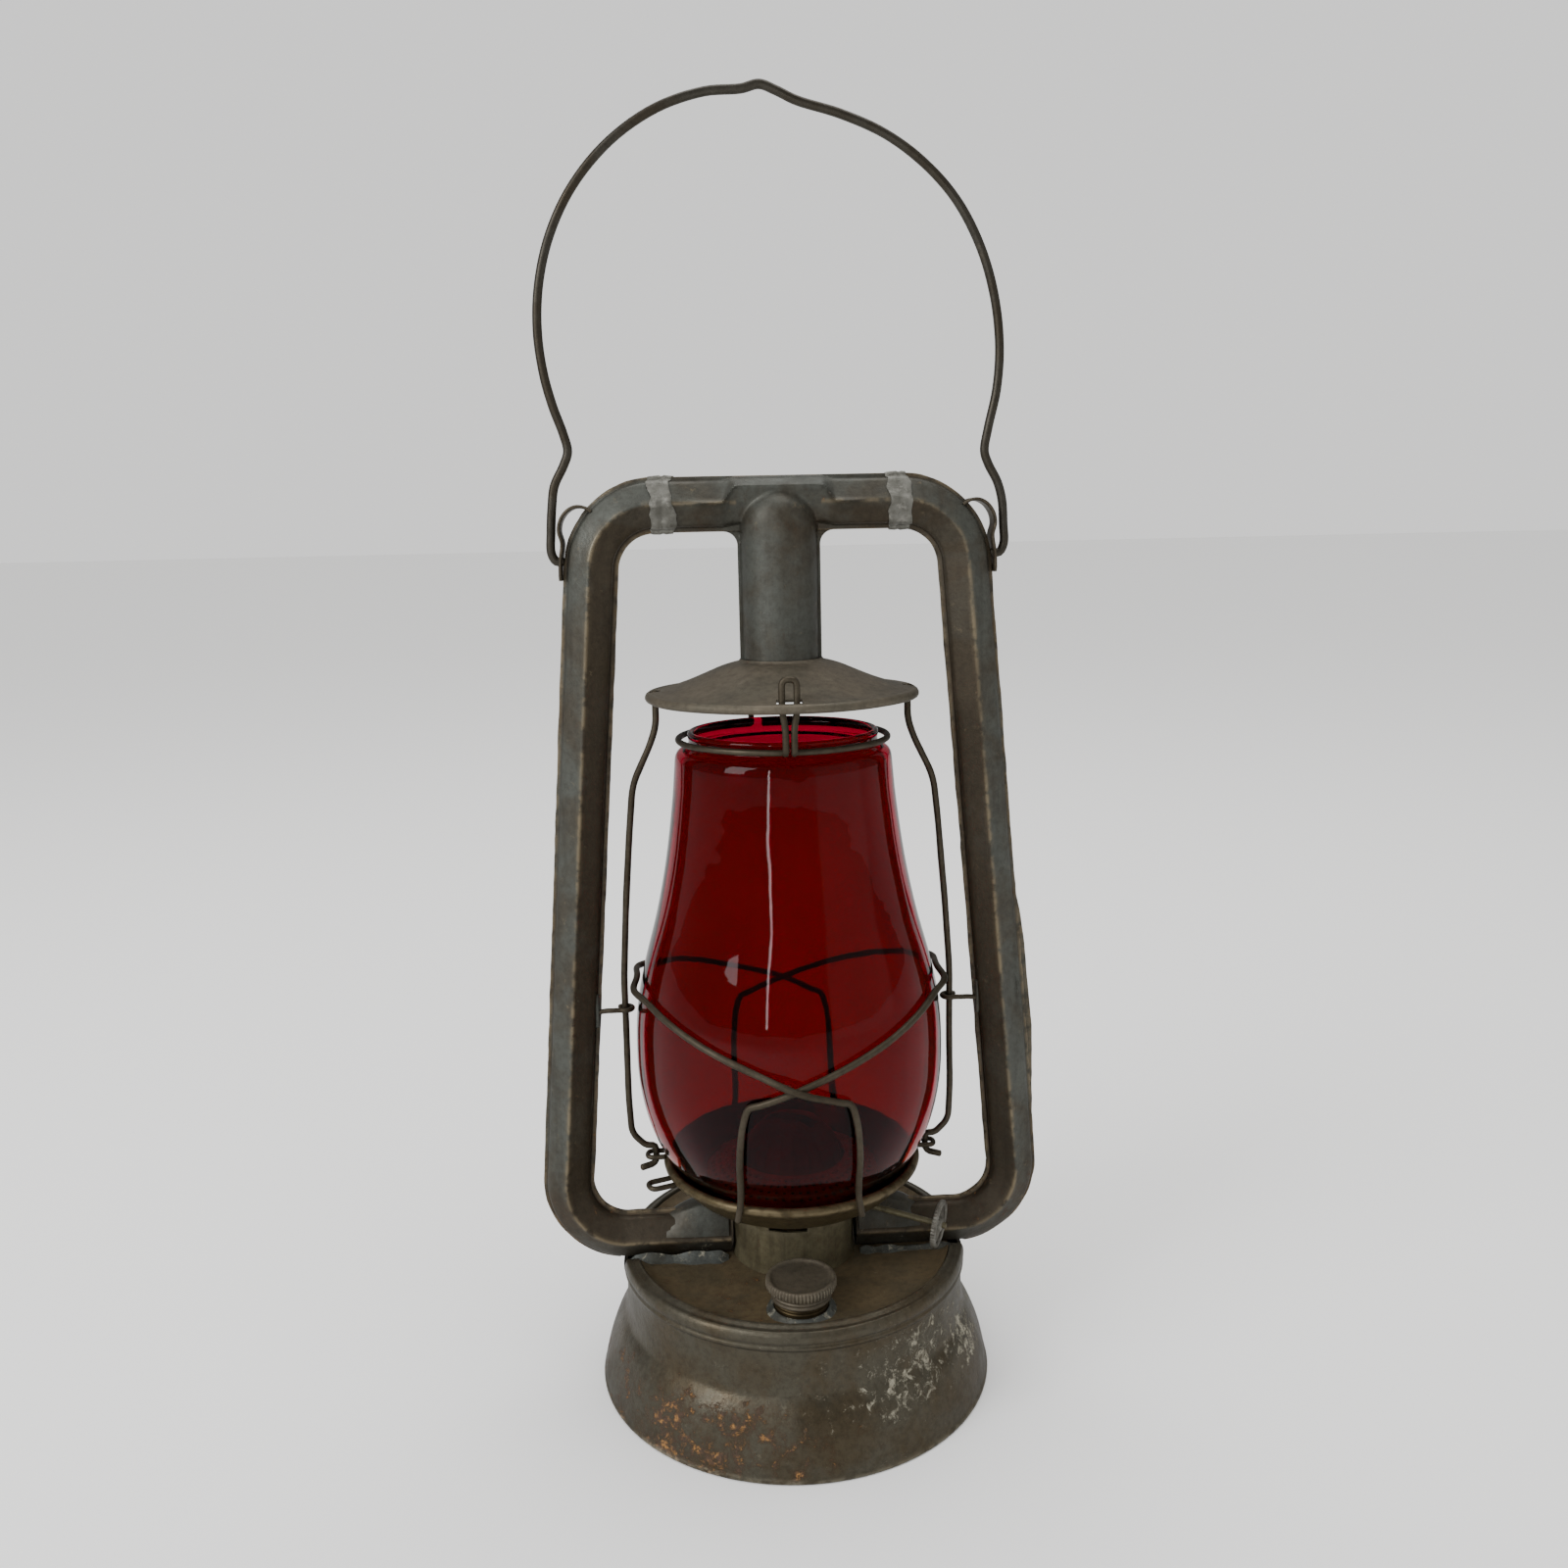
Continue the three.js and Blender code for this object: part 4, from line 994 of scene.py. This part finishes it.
def air_chamber():
    outer = [(23.6, 47.1), (23.5, 48.2), (23.4, 50), (23.4, 54), (23.4, 58), (23.4, 62), (23.45, 64.6),
             (23.6, 65.4), (23.75, 66.3), (23.95, 67.3), (24.3, 68.2), (24.9, 69.2), (25.3, 69.9),
             (25.2, 70.3)]
    inner = [(24.7, 70.3), (23.9, 69.2), (23.3, 68.2), (23.0, 67.3), (22.8, 66.3), (22.65, 65.4),
             (22.55, 62), (22.5, 47.1)]
    sides, half_slot, front = 180, 9, 270 - 8
    slot_low, slot_high = 65.3, 67.4
    rows_out = [i for i, (r, z) in enumerate(outer) if slot_low <= z <= slot_high]
    rows_in = [i for i, (r, z) in enumerate(inner, len(outer)) if slot_low <= z <= slot_high]

    def shape(i, a, r, z):
        return r + 0.16 * wobble(polar(r, a, z), 9, 5.1), z

    def marks(i, a, r, z):
        return (0.6 if 64 < z and i < len(outer) else 0.0), 0.35, 0.25 * bump(z, 49, 3)

    build = Build()
    slot = (int(round(front / 360 * sides)), half_slot, rows_out, rows_in)
    build.revolve_pierced(outer + inner, sides, shape, marks, [slot], flip=True)
    build.finish("air_chamber_wall", CHAMBER, "frame", ("air_chamber",), angle=50)


def tube_hood(side):
    """The flat-sided hood that slopes from the collar's height down on to the lower tube."""
    build = Build()
    rings = []
    for x, top, half, grow in ((25.2, 70.0, 3.2, 1.0), (26.2, 70.2, 3.6, 1.0), (31, 69.5, 4.0, 1.0),
                               (36, 68.4, 4.2, 1.0), (40, 67.2, 4.0, 1.0), (44, 65.7, 3.2, 0.7),
                               (47.4, 64.2, 2.0, 0.3), (49.2, 62.9, 1.0, 0.0)):
        edge = [(7.6 + 0.8 * grow, 57.0), (6.3 + 1.6 * grow, 58.9 + 0.3 * grow), (half + 0.8, top - 1.3),
                (half, top - 0.35), (half * 0.5, top)]
        outline = [(-y, z) for y, z in edge] + [(y, z) for y, z in reversed(edge)]
        rings.append([(x, y, z + 0.12 * wobble((x, y, z), 5, side)) for y, z in outline])
    build.loft(rings)
    build.finish_side(side, "tube_hood", "_pressing", TUBE, "frame", 50)


def tube_saddle(side):
    """The solder fillet that seats a lower tube on the fount."""
    for front in (-1, 1):
        build = Build()
        rings = []
        steps = 26
        for i in range(steps + 1):
            x = 25.5 + (64.6 - 25.5) * i / steps
            end = smoothstep(min(i, steps - i) / 2)
            swell = 0.85 + 0.9 * wobble((x, front * 9, side * 5), 9, 3.3)
            reach = (3.4 * swell + 1.4 * smoothstep((x - 52) / 8)) * (0.35 + 0.65 * end)
            height = 2.7 * swell * (0.4 + 0.6 * end)
            ring = [(x, front * 4.4, DISC_Z - 0.1), (x, front * 6.4, DISC_Z + height)]
            for k in range(1, 6):
                a = k / 6
                y = 6.4 + (reach + 1.0) * a
                z = DISC_Z + height * (1 - a) ** 1.9 + 0.15
                ring.append((x, front * (y + 0.12 * wobble((x, y, z), 2.5)), z))
            ring.append((x, front * (7.4 + reach), DISC_Z - 0.1))
            rings.append(ring)
        build.loft(rings)
        build.mirror_left(side)
        place = "_saddle_front" if front < 0 else "_saddle_rear"
        build.finish(hand(side) + place, SADDLE, "frame", angle=60)


# --- wick drive

BURNER_TURN = math.radians(-25.2)
SPINDLE_TILT = math.radians(5.6)
SPINDLE_OFFSET, SPINDLE_Z, WHEEL_U = 4.4, 70.0, 57.6


def on_spindle(along, y, z, u):
    """A point near the spindle: along and z in the plane of its tilt about the place u on the spindle."""
    c, s = math.cos(SPINDLE_TILT), math.sin(SPINDLE_TILT)
    base = SPINDLE_Z - math.tan(SPINDLE_TILT) * u
    return turned_about_z((u + along * c + z * s, SPINDLE_OFFSET + y, base - along * s + z * c), BURNER_TURN)


def wick_wheel():
    """A pierced thumb wheel with a milled rim, dished spokes and a hub."""
    build = Build()
    teeth, per = 44, 4
    sides = teeth * per
    rim = [(8.85, -0.85), (9.05, -0.4), (9.05, 0.4), (8.85, 0.85), (8.2, 1.05), (7.4, 0.95), (7.0, 0.5),
           (7.0, -0.5), (7.4, -0.95), (8.2, -1.05)]

    def at(r, a, u):
        return on_spindle(u, r * math.cos(a), r * math.sin(a), WHEEL_U)

    def notch(i, k):
        return 0.22 if i < 4 and k % per in (0, 1) else 0.0

    rows = []
    for i, (r, u) in enumerate(rim):
        ring = [at(r - notch(i, k), 2 * math.pi * k / sides, u) for k in range(sides)]
        rows.append(build.ring(ring, [0.8 if i < 6 else 0.3] * sides))
    build.bridge_all(rows, closed=True)
    for spoke in range(4):
        centre = math.pi / 4 + spoke * math.pi / 2
        rings = []
        for r, half, u in ((2.0, 1.5, 0.5), (3.3, 1.2, 0.45), (4.7, 1.1, 0.25), (6.1, 1.2, 0.1),
                           (7.5, 1.6, 0.0)):
            ring = []
            for dy, du in ((-1, -0.45), (-0.7, 0.42), (0, 0.62), (0.7, 0.42), (1, -0.45), (0, -0.55)):
                bend = 0.16 * math.sin((r - 2) / 6.3 * math.pi)
                ring.append(at(math.hypot(r, dy * half), centre + bend + math.atan2(dy * half, r), u + du))
            rings.append(ring)
        build.loft(rings)
    hub = [(0.9, -1.5), (2.3, -1.5), (2.8, -1.1), (2.9, 0.4), (2.5, 1.2), (1.5, 1.5), (0.9, 1.5)]
    rows = [build.ring([at(r, 2 * math.pi * k / 32, u) for k in range(32)], [0.7] * 32) for r, u in hub]
    build.bridge_all(rows, closed=True)
    build.finish("wick_wheel_milled", ZINC, "wick_drive", ("wick_wheel",), angle=40)


def spindle():
    build = Build()
    ends = [on_spindle(0.0, 0.0, 0.0, u) for u in (-9.0, WHEEL_U + 2.4)]
    build.wire(ends, 1.2, 16, 2.0, 0.02)
    build.finish("wick_spindle_rod", CHAMBER, "wick_drive", ("wick_spindle",))


# --- globe and what carries it

GLOBE = [(36.6, 76.4), (38.4, 78.6), (41.2, 82.2), (46.8, 89.6), (51.4, 97.8), (55, 108), (57.3, 121),
         (57.7, 135), (56.8, 149), (53.8, 164.4), (48.4, 184.6), (44.2, 205), (41, 228), (40.1, 237.6),
         (39.75, 241.6)]


def globe_radius(z):
    rs = [p[0] for p in GLOBE]
    zs = [p[1] for p in GLOBE]
    return float(np.interp(z, zs, rs))


def globe():
    outer = curved_profile(GLOBE, 5)
    outer += [(39.5, 243.2), (38.9, 244.5), (37.9, 245.4), (36.6, 246.0), (35.5, 246.6), (34.8, 247.4),
              (34.5, 248.4), (34.6, 249.6), (34.9, 250.6), (34.8, 251.5), (34.3, 252.1), (33.6, 252.3)]
    inner_body = [(r - 2.1, z) for r, z in GLOBE]
    inner_body[0] = (34.6, 76.4)
    inner = [(32.9, 252.0), (32.5, 251.2), (32.4, 249.6), (32.4, 247.2), (33.2, 245.8), (34.8, 244.4),
             (36.6, 243.0), (37.4, 241.4)]
    inner += reversed(curved_profile(inner_body[:-1], 3))
    build = Build()

    def shape(i, a, r, z):
        p = polar(r, a, z * 0.25)
        return r + 0.1 * wobble(p, 22, 8.8) * smoothstep((z - 80) / 20), z

    build.revolve(outer + inner, 160, shape)
    # Painted light: the lower globe is marked for an amber tint that stands in for the lit dome and burner
    # seen through the glass.
    for v, point in enumerate(build.verts):
        build.masks["brown_and_painted_light"][v] = 0.75 * smoothstep((112 - point[2]) / 30)
    build.finish("globe_glass", GLASS, "globe_carrier", ("globe",), angle=60)


def globe_plate():
    profile = [(20.4, 70.8)]
    profile += curved_profile([(22, 70.85), (27, 71.2), (33.4, 72.7), (39, 75.6), (43.5, 79.9),
                               (46.2, 83.6)], 4)
    profile += [(46.8, 84.2), (47.6, 84.45), (48.5, 84.7), (49.1, 85.4), (49.35, 86.3), (49.1, 87.2),
                (48.4, 87.9), (47.5, 88.05), (46.6, 87.7), (46.0, 86.9), (45.6, 85.4)]
    profile += curved_profile([(45.2, 84.2), (42.7, 80.5), (38.3, 76.4), (32.6, 73.6), (20.4, 71.7)], 3)

    def marks(i, a, r, z):
        return (0.9 if r > 47.2 else 0.0), 0.25, 0.0

    def shape(i, a, r, z):
        return r + 0.1 * wobble(polar(r, a, z), 14, 3), z

    build = Build()
    build.revolve(profile, 128, shape, marks)
    build.finish("globe_plate_pressing", PLATE, "globe_carrier", ("globe_plate",), angle=50)


def perforated_dome():
    """A dome with rings of small round holes, each cell of the grid holding one."""
    build = Build()
    sides, rings, hole_r, thick = 60, 4, 0.30, 0.7
    profile = [(31.6, 82.2), (29.2, 83.6), (26.6, 84.75), (24.0, 85.75), (21.6, 86.5)]

    def place(u, v, lift):
        """u along the ring in cells, v across the rings in cells."""
        v = min(max(v, 0.0), rings)
        i = min(int(v), rings - 1)
        t = v - i
        r = profile[i][0] * (1 - t) + profile[i + 1][0] * t
        z = profile[i][1] * (1 - t) + profile[i + 1][1] * t
        a = 2 * math.pi * u / sides
        return polar(r, a, z + lift)

    cache = {}

    def corner(u, v, lift):
        key = (u % sides, v, lift)
        if key not in cache:
            cache[key] = build.vert(place(u % sides, v, lift), 0.2, 0.3)
        return cache[key]

    offsets = [(-0.5, -0.5), (0.0, -0.5), (0.5, -0.5), (0.5, 0.0), (0.5, 0.5), (0.0, 0.5), (-0.5, 0.5),
               (-0.5, 0.0)]
    for i in range(rings):
        for k in range(sides):
            cu, cv = k + 0.5, i + 0.5
            tops, bottoms = [], []
            for n, (du, dv) in enumerate(offsets):
                a = math.atan2(dv, du)
                inner = (cu + hole_r * math.cos(a), cv + hole_r * math.sin(a))
                tops.append((corner(cu + du, cv + dv, 0.0), build.vert(place(*inner, 0.0))))
                bottoms.append((corner(cu + du, cv + dv, -thick), build.vert(place(*inner, -thick))))
            for n in range(8):
                m = (n + 1) % 8
                build.faces.append((tops[n][0], tops[m][0], tops[m][1], tops[n][1]))
                build.faces.append((bottoms[m][0], bottoms[n][0], bottoms[n][1], bottoms[m][1]))
                build.faces.append((tops[n][1], tops[m][1], bottoms[m][1], bottoms[n][1]))
    for k in range(sides * 2):
        u, w = k / 2, (k + 1) / 2
        for p, q, v in ((w, u, 0), (u, w, rings)):
            rim = ((p, 0.0), (q, 0.0), (q, -thick), (p, -thick))
            build.faces.append(tuple(corner(x, v, lift) for x, lift in rim))
    skirt = [(33.6, 74.8), (33.6, 79.2), (33.0, 81.0), (31.55, 82.25), (31.3, 81.5), (32.5, 80.2),
             (32.8, 78.8), (32.8, 74.8)]
    build.revolve(skirt, 120)
    lip = [(21.65, 86.52), (20.9, 87.1), (20.8, 86.4), (21.5, 85.75)]
    build.revolve(lip, 120)
    build.finish("perforated_dome_pierced", DOME, "globe_carrier", ("perforated_dome",))


def rim_loop(angle, length, half, z):
    root = 48.9
    corners = [(root, half, z), (root + length, half, z), (root + length, -half, z), (root, -half, z)]
    return [turned_about_z(p, math.radians(angle)) for p in rounded(corners, half * 0.9, 6)]


def plate_wires():
    loop = Build()
    loop.wire(rim_loop(201, 9.0, 2.9, 85.2), 1.0, 12, 1.2, 0.08, 1.0)
    loop.finish("lift_loop_wire", WIRE, "globe_carrier", ("lift_loop",))
    for side, angle in ((1, 0), (-1, 180)):
        eye = Build()
        eye.wire(rim_loop(angle, 6.5, 2.7, 88), 0.95, 12, 1.0, 0.08, side)
        name = hand(side) + "_plate_eye"
        eye.finish(name + "_wire", WIRE, "globe_carrier", (name,))


def side_wire(side):
    corners = [(46, 0, 266.8), (46, 0, 254.6), (48.4, 0, 247.5), (55.4, 0, 233), (57.2, 0, 216),
               (59.8, 0, 186), (GUIDE_X, 0, 158), (GUIDE_X, 0, 134), (61.9, 0, 112), (61.2, 0, 97),
               (56, 0, 91.8), (52.2, 0, 91.8), (52.1, 0, 84.4), (57.6, -2.4, 84)]
    build = Build()
    build.wire(rounded(corners, 5, 7), WIRE_R, 12, 2.5, 0.06, 4 + side)
    build.finish_side(side, "side_wire", "_round", WIRE, "globe_carrier")


def guard_hoop(lift):
    """Up from the rim, round one side of the globe and down again behind."""
    stand, cross_z, slope, bend, foot = WIRE_R + 0.6, 137.0, 0.39, 19.0, 25.5

    def place(deg, r, z):
        a = math.radians(deg)
        return np.array((r * math.sin(a), -r * math.cos(a), z))

    heights = [83.6, 90, 98, 108, 118, 125]
    leg = []
    for i, z in enumerate(heights):
        turn = foot + (bend - foot) * i / (len(heights) - 1)
        leg.append((turn, max(globe_radius(z) + stand, PLATE_RIM_R + stand), z))
    middle = []
    steps = 60
    for k in range(steps + 1):
        deg = -17 + 214 * k / steps
        z = cross_z + slope * 58.5 * math.sin(math.radians(deg))
        over = lift * 2.9 * (bump(deg, 0, 9) + bump(deg, 180, 9))
        kink = 2.2 * (bump(deg, 76, 8) + bump(deg, 104, 8))
        middle.append(place(deg, globe_radius(z) + stand + over + kink, z))
    path = [place(-t, r, z) for t, r, z in leg] + middle
    path += [place(180 + t, r, z) for t, r, z in reversed(leg)]
    build = Build()
    build.wire(curve_through(path, 3), WIRE_R, 12, 1.6, 0.06, lift * 3)
    build.finish_side(-1 if lift else 1, "guard_hoop", "_round", WIRE, "globe_carrier")


def retainer_ring():
    ring_r, ring_z, leg_y, leg_x_at, foot_x, stub_x = 38.2, 249.2, -44.0, 2.5, 1.45, -10.2

    def on(deg):
        a = math.radians(deg)
        return (ring_r * math.sin(a), -ring_r * math.cos(a), ring_z)

    stub = 180 + math.degrees(math.asin(-stub_x / ring_r))
    front = math.degrees(math.asin(foot_x / ring_r))
    left = [on(stub + 4 + (360 - front - stub - 4) * i / 40) for i in range(41)]
    right = [on(front + (stub - 7 - front) * i / 44) for i in range(45)]
    loop = [(-foot_x, leg_y, ring_z + 0.4), (-foot_x, leg_y, 258), (-leg_x_at, leg_y, 264),
            (-leg_x_at, leg_y, 274.6)]
    loop += [(-x, y, z) for x, y, z in reversed(loop)]
    foot = on(stub)
    path = rounded([(*foot[:2], 269.4), foot, *left, *loop, *right], 2.4, 5)
    build = Build()
    build.wire(path, 1.15, 12, 1.6, 0.06, 2.0)
    build.finish("retainer_ring_round", WIRE, "globe_ring", ("retainer_ring",))


# --- bail


# Where the hand-bent wire goes, from the left ear over the crown to the right ear.
BAIL_BENDS = [
    (-76.6, 314), (-78.8, 314), (-80.4, 316.8), (-80.2, 324), (-79.4, 333), (-78.2, 340), (-74.6, 347),
    (-73, 351.6), (-74.2, 357.5), (-77.4, 367), (-80, 378), (-81.3, 392), (-80, 407.5), (-75.4, 423.5),
    (-67, 438.8), (-54, 452.8), (-38, 463), (-22, 468), (-9.5, 468.9), (-3.4, 470.3), (2, 468.4),
    (9, 465.2), (24, 460.9), (39, 454.6), (52.2, 445.4), (63.5, 433.4), (72, 418), (77, 401.5),
    (78.9, 385), (78, 370.5), (75, 357), (73.8, 349.4), (75.2, 345), (78.6, 338.5), (80.3, 332),
    (80.8, 324), (81, 317), (79.4, 314), (76.6, 314)]


def bail():
    path = curve_through([(x, 0.0, z) for x, z in BAIL_BENDS], 6)
    build = Build()
    build.wire(path, 1.6, 16, 2.0, 0.02, 9.0)
    build.finish("bail_wire", BAIL, "bail", ("bail",))


# --- putting it together

fount_shell()
fount_disc()
filler()
for side in (1, -1):
    for front in (-1, 1):
        side_tube(side, front)
    joint_band(side)
    bail_ear(side)
    guide_eye(side)
    tube_hood(side)
    tube_saddle(side)
    side_wire(side)
tee(-1)
tee(1)
canopy()
air_chamber()
wick_wheel()
spindle()
globe()
globe_plate()
perforated_dome()
plate_wires()
guard_hoop(0)
guard_hoop(1)
retainer_ring()
bail()

for node, material in (("fount_bottom", FOUNT), ("burner_body", BRASS), ("burner_cone", BRASS),
                       ("wick_tube", BRASS), ("wick", COTTON), ("filler_gasket", CORK),
                       ("wick_sprocket_inner", ZINC), ("wick_sprocket_outer", ZINC)):
    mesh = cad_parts[node].data
    mesh.materials.clear()
    mesh.materials.append(material)


# --- stage, light and camera


def pale_floor(value, mirrored, rough):
    """A pale floor that is dimmer where polished metal and glass mirror it."""
    n = Nodes("floor_pale")
    ray = n.node("LightPath").outputs
    reflected = n.math("SUBTRACT", ray["Is Glossy Ray"], ray["Is Transmission Ray"], clamp=True)
    n.set("Base Color", n.mix(reflected, (value, value, value * 0.995, 1.0), (mirrored,) * 3 + (1.0,)))
    n.set("Roughness", rough)
    return n.material


def floor():
    half, drop = 60.0, -0.05 * MM
    mesh = bpy.data.meshes.new("floor")
    corners = [(x * half, y * half, drop) for x, y in ((-1, -1), (1, -1), (1, 1), (-1, 1))]
    mesh.from_pydata(corners, [], [(0, 1, 2, 3)])
    mesh.materials.append(pale_floor(0.86, 0.42, 0.9))
    obj = bpy.data.objects.new("floor", mesh)
    put_in_scene(obj)


def area_light(name, position, target_z, width, height, power, colour=(1, 1, 1)):
    data = bpy.data.lights.new(name, "AREA")
    data.shape = "RECTANGLE"
    data.size = width
    data.size_y = height
    data.energy = power
    data.color = colour
    obj = bpy.data.objects.new(name, data)
    obj.location = position
    obj.rotation_mode = "QUATERNION"
    obj.rotation_quaternion = (Vector((0, 0, target_z)) - Vector(position)).to_track_quat("-Z", "Y")
    put_in_scene(obj)


floor()
area_light("window_left", (-1.3, -0.9, 1.1), 0.2, 0.8, 1.4, 20, (0.99, 0.99, 1.0))
area_light("strip_front", (-0.39, -1.14, 0.50), 0.17, 0.045, 0.62, 1.2)
area_light("fill_right", (1.9, -1.3, 0.9), 0.2, 2.4, 2.4, 5, (1.0, 0.97, 0.93))
area_light("top_soft", (0.1, 0.3, 1.9), 0.2, 1.4, 1.4, 15)

# The backdrop and what lights the floor are pale; the room mirrored in metal and glass is dim.
BACKDROP, SKY, ROOM = 1.05, 1.2, 0.20
world = bpy.data.worlds.new("studio")
world.use_nodes = True
tree = world.node_tree
background = tree.nodes["Background"]
background.inputs["Color"].default_value = (1.0, 0.995, 0.985, 1.0)
ray = tree.nodes.new("ShaderNodeLightPath")
level = None
for kind, strength in (("Is Diffuse Ray", SKY), ("Is Camera Ray", BACKDROP),
                       ("Is Transmission Ray", BACKDROP)):
    pick = tree.nodes.new("ShaderNodeMapRange")
    tree.links.new(ray.outputs[kind], pick.inputs["Value"])
    pick.inputs["To Max"].default_value = strength
    pick.inputs["To Min"].default_value = ROOM
    if level:
        tree.links.new(level, pick.inputs["To Min"])
    level = pick.outputs[0]
tree.links.new(level, background.inputs["Strength"])
bpy.context.scene.world = world

# The camera stands a little to the left of the front, looks down a little and is rolled a little.
PITCH, ROLL, TURN = 0.183, -0.021, math.radians(-3.2)
right = Vector((1, 0, 0))
up = Vector((0, math.sin(PITCH), math.cos(PITCH)))
ahead = Vector((0, math.cos(PITCH), -math.sin(PITCH)))
rolled_right = right * math.cos(ROLL) + up * math.sin(ROLL)
rolled_up = up * math.cos(ROLL) - right * math.sin(ROLL)
basis = Matrix((rolled_right, rolled_up, -ahead)).transposed()
STANDS_AT = Vector((0.09, -478.8, 320.1)) * MM
camera_data = bpy.data.cameras.new("camera")
camera_data.lens = 30.366
camera_data.sensor_width = 36
camera_data.clip_start = 0.01
camera = bpy.data.objects.new("camera", camera_data)
spot = Matrix.Rotation(TURN, 4, "Z") @ Matrix.Translation(STANDS_AT)
camera.matrix_world = spot @ basis.to_4x4()
put_in_scene(camera)
bpy.context.scene.camera = camera
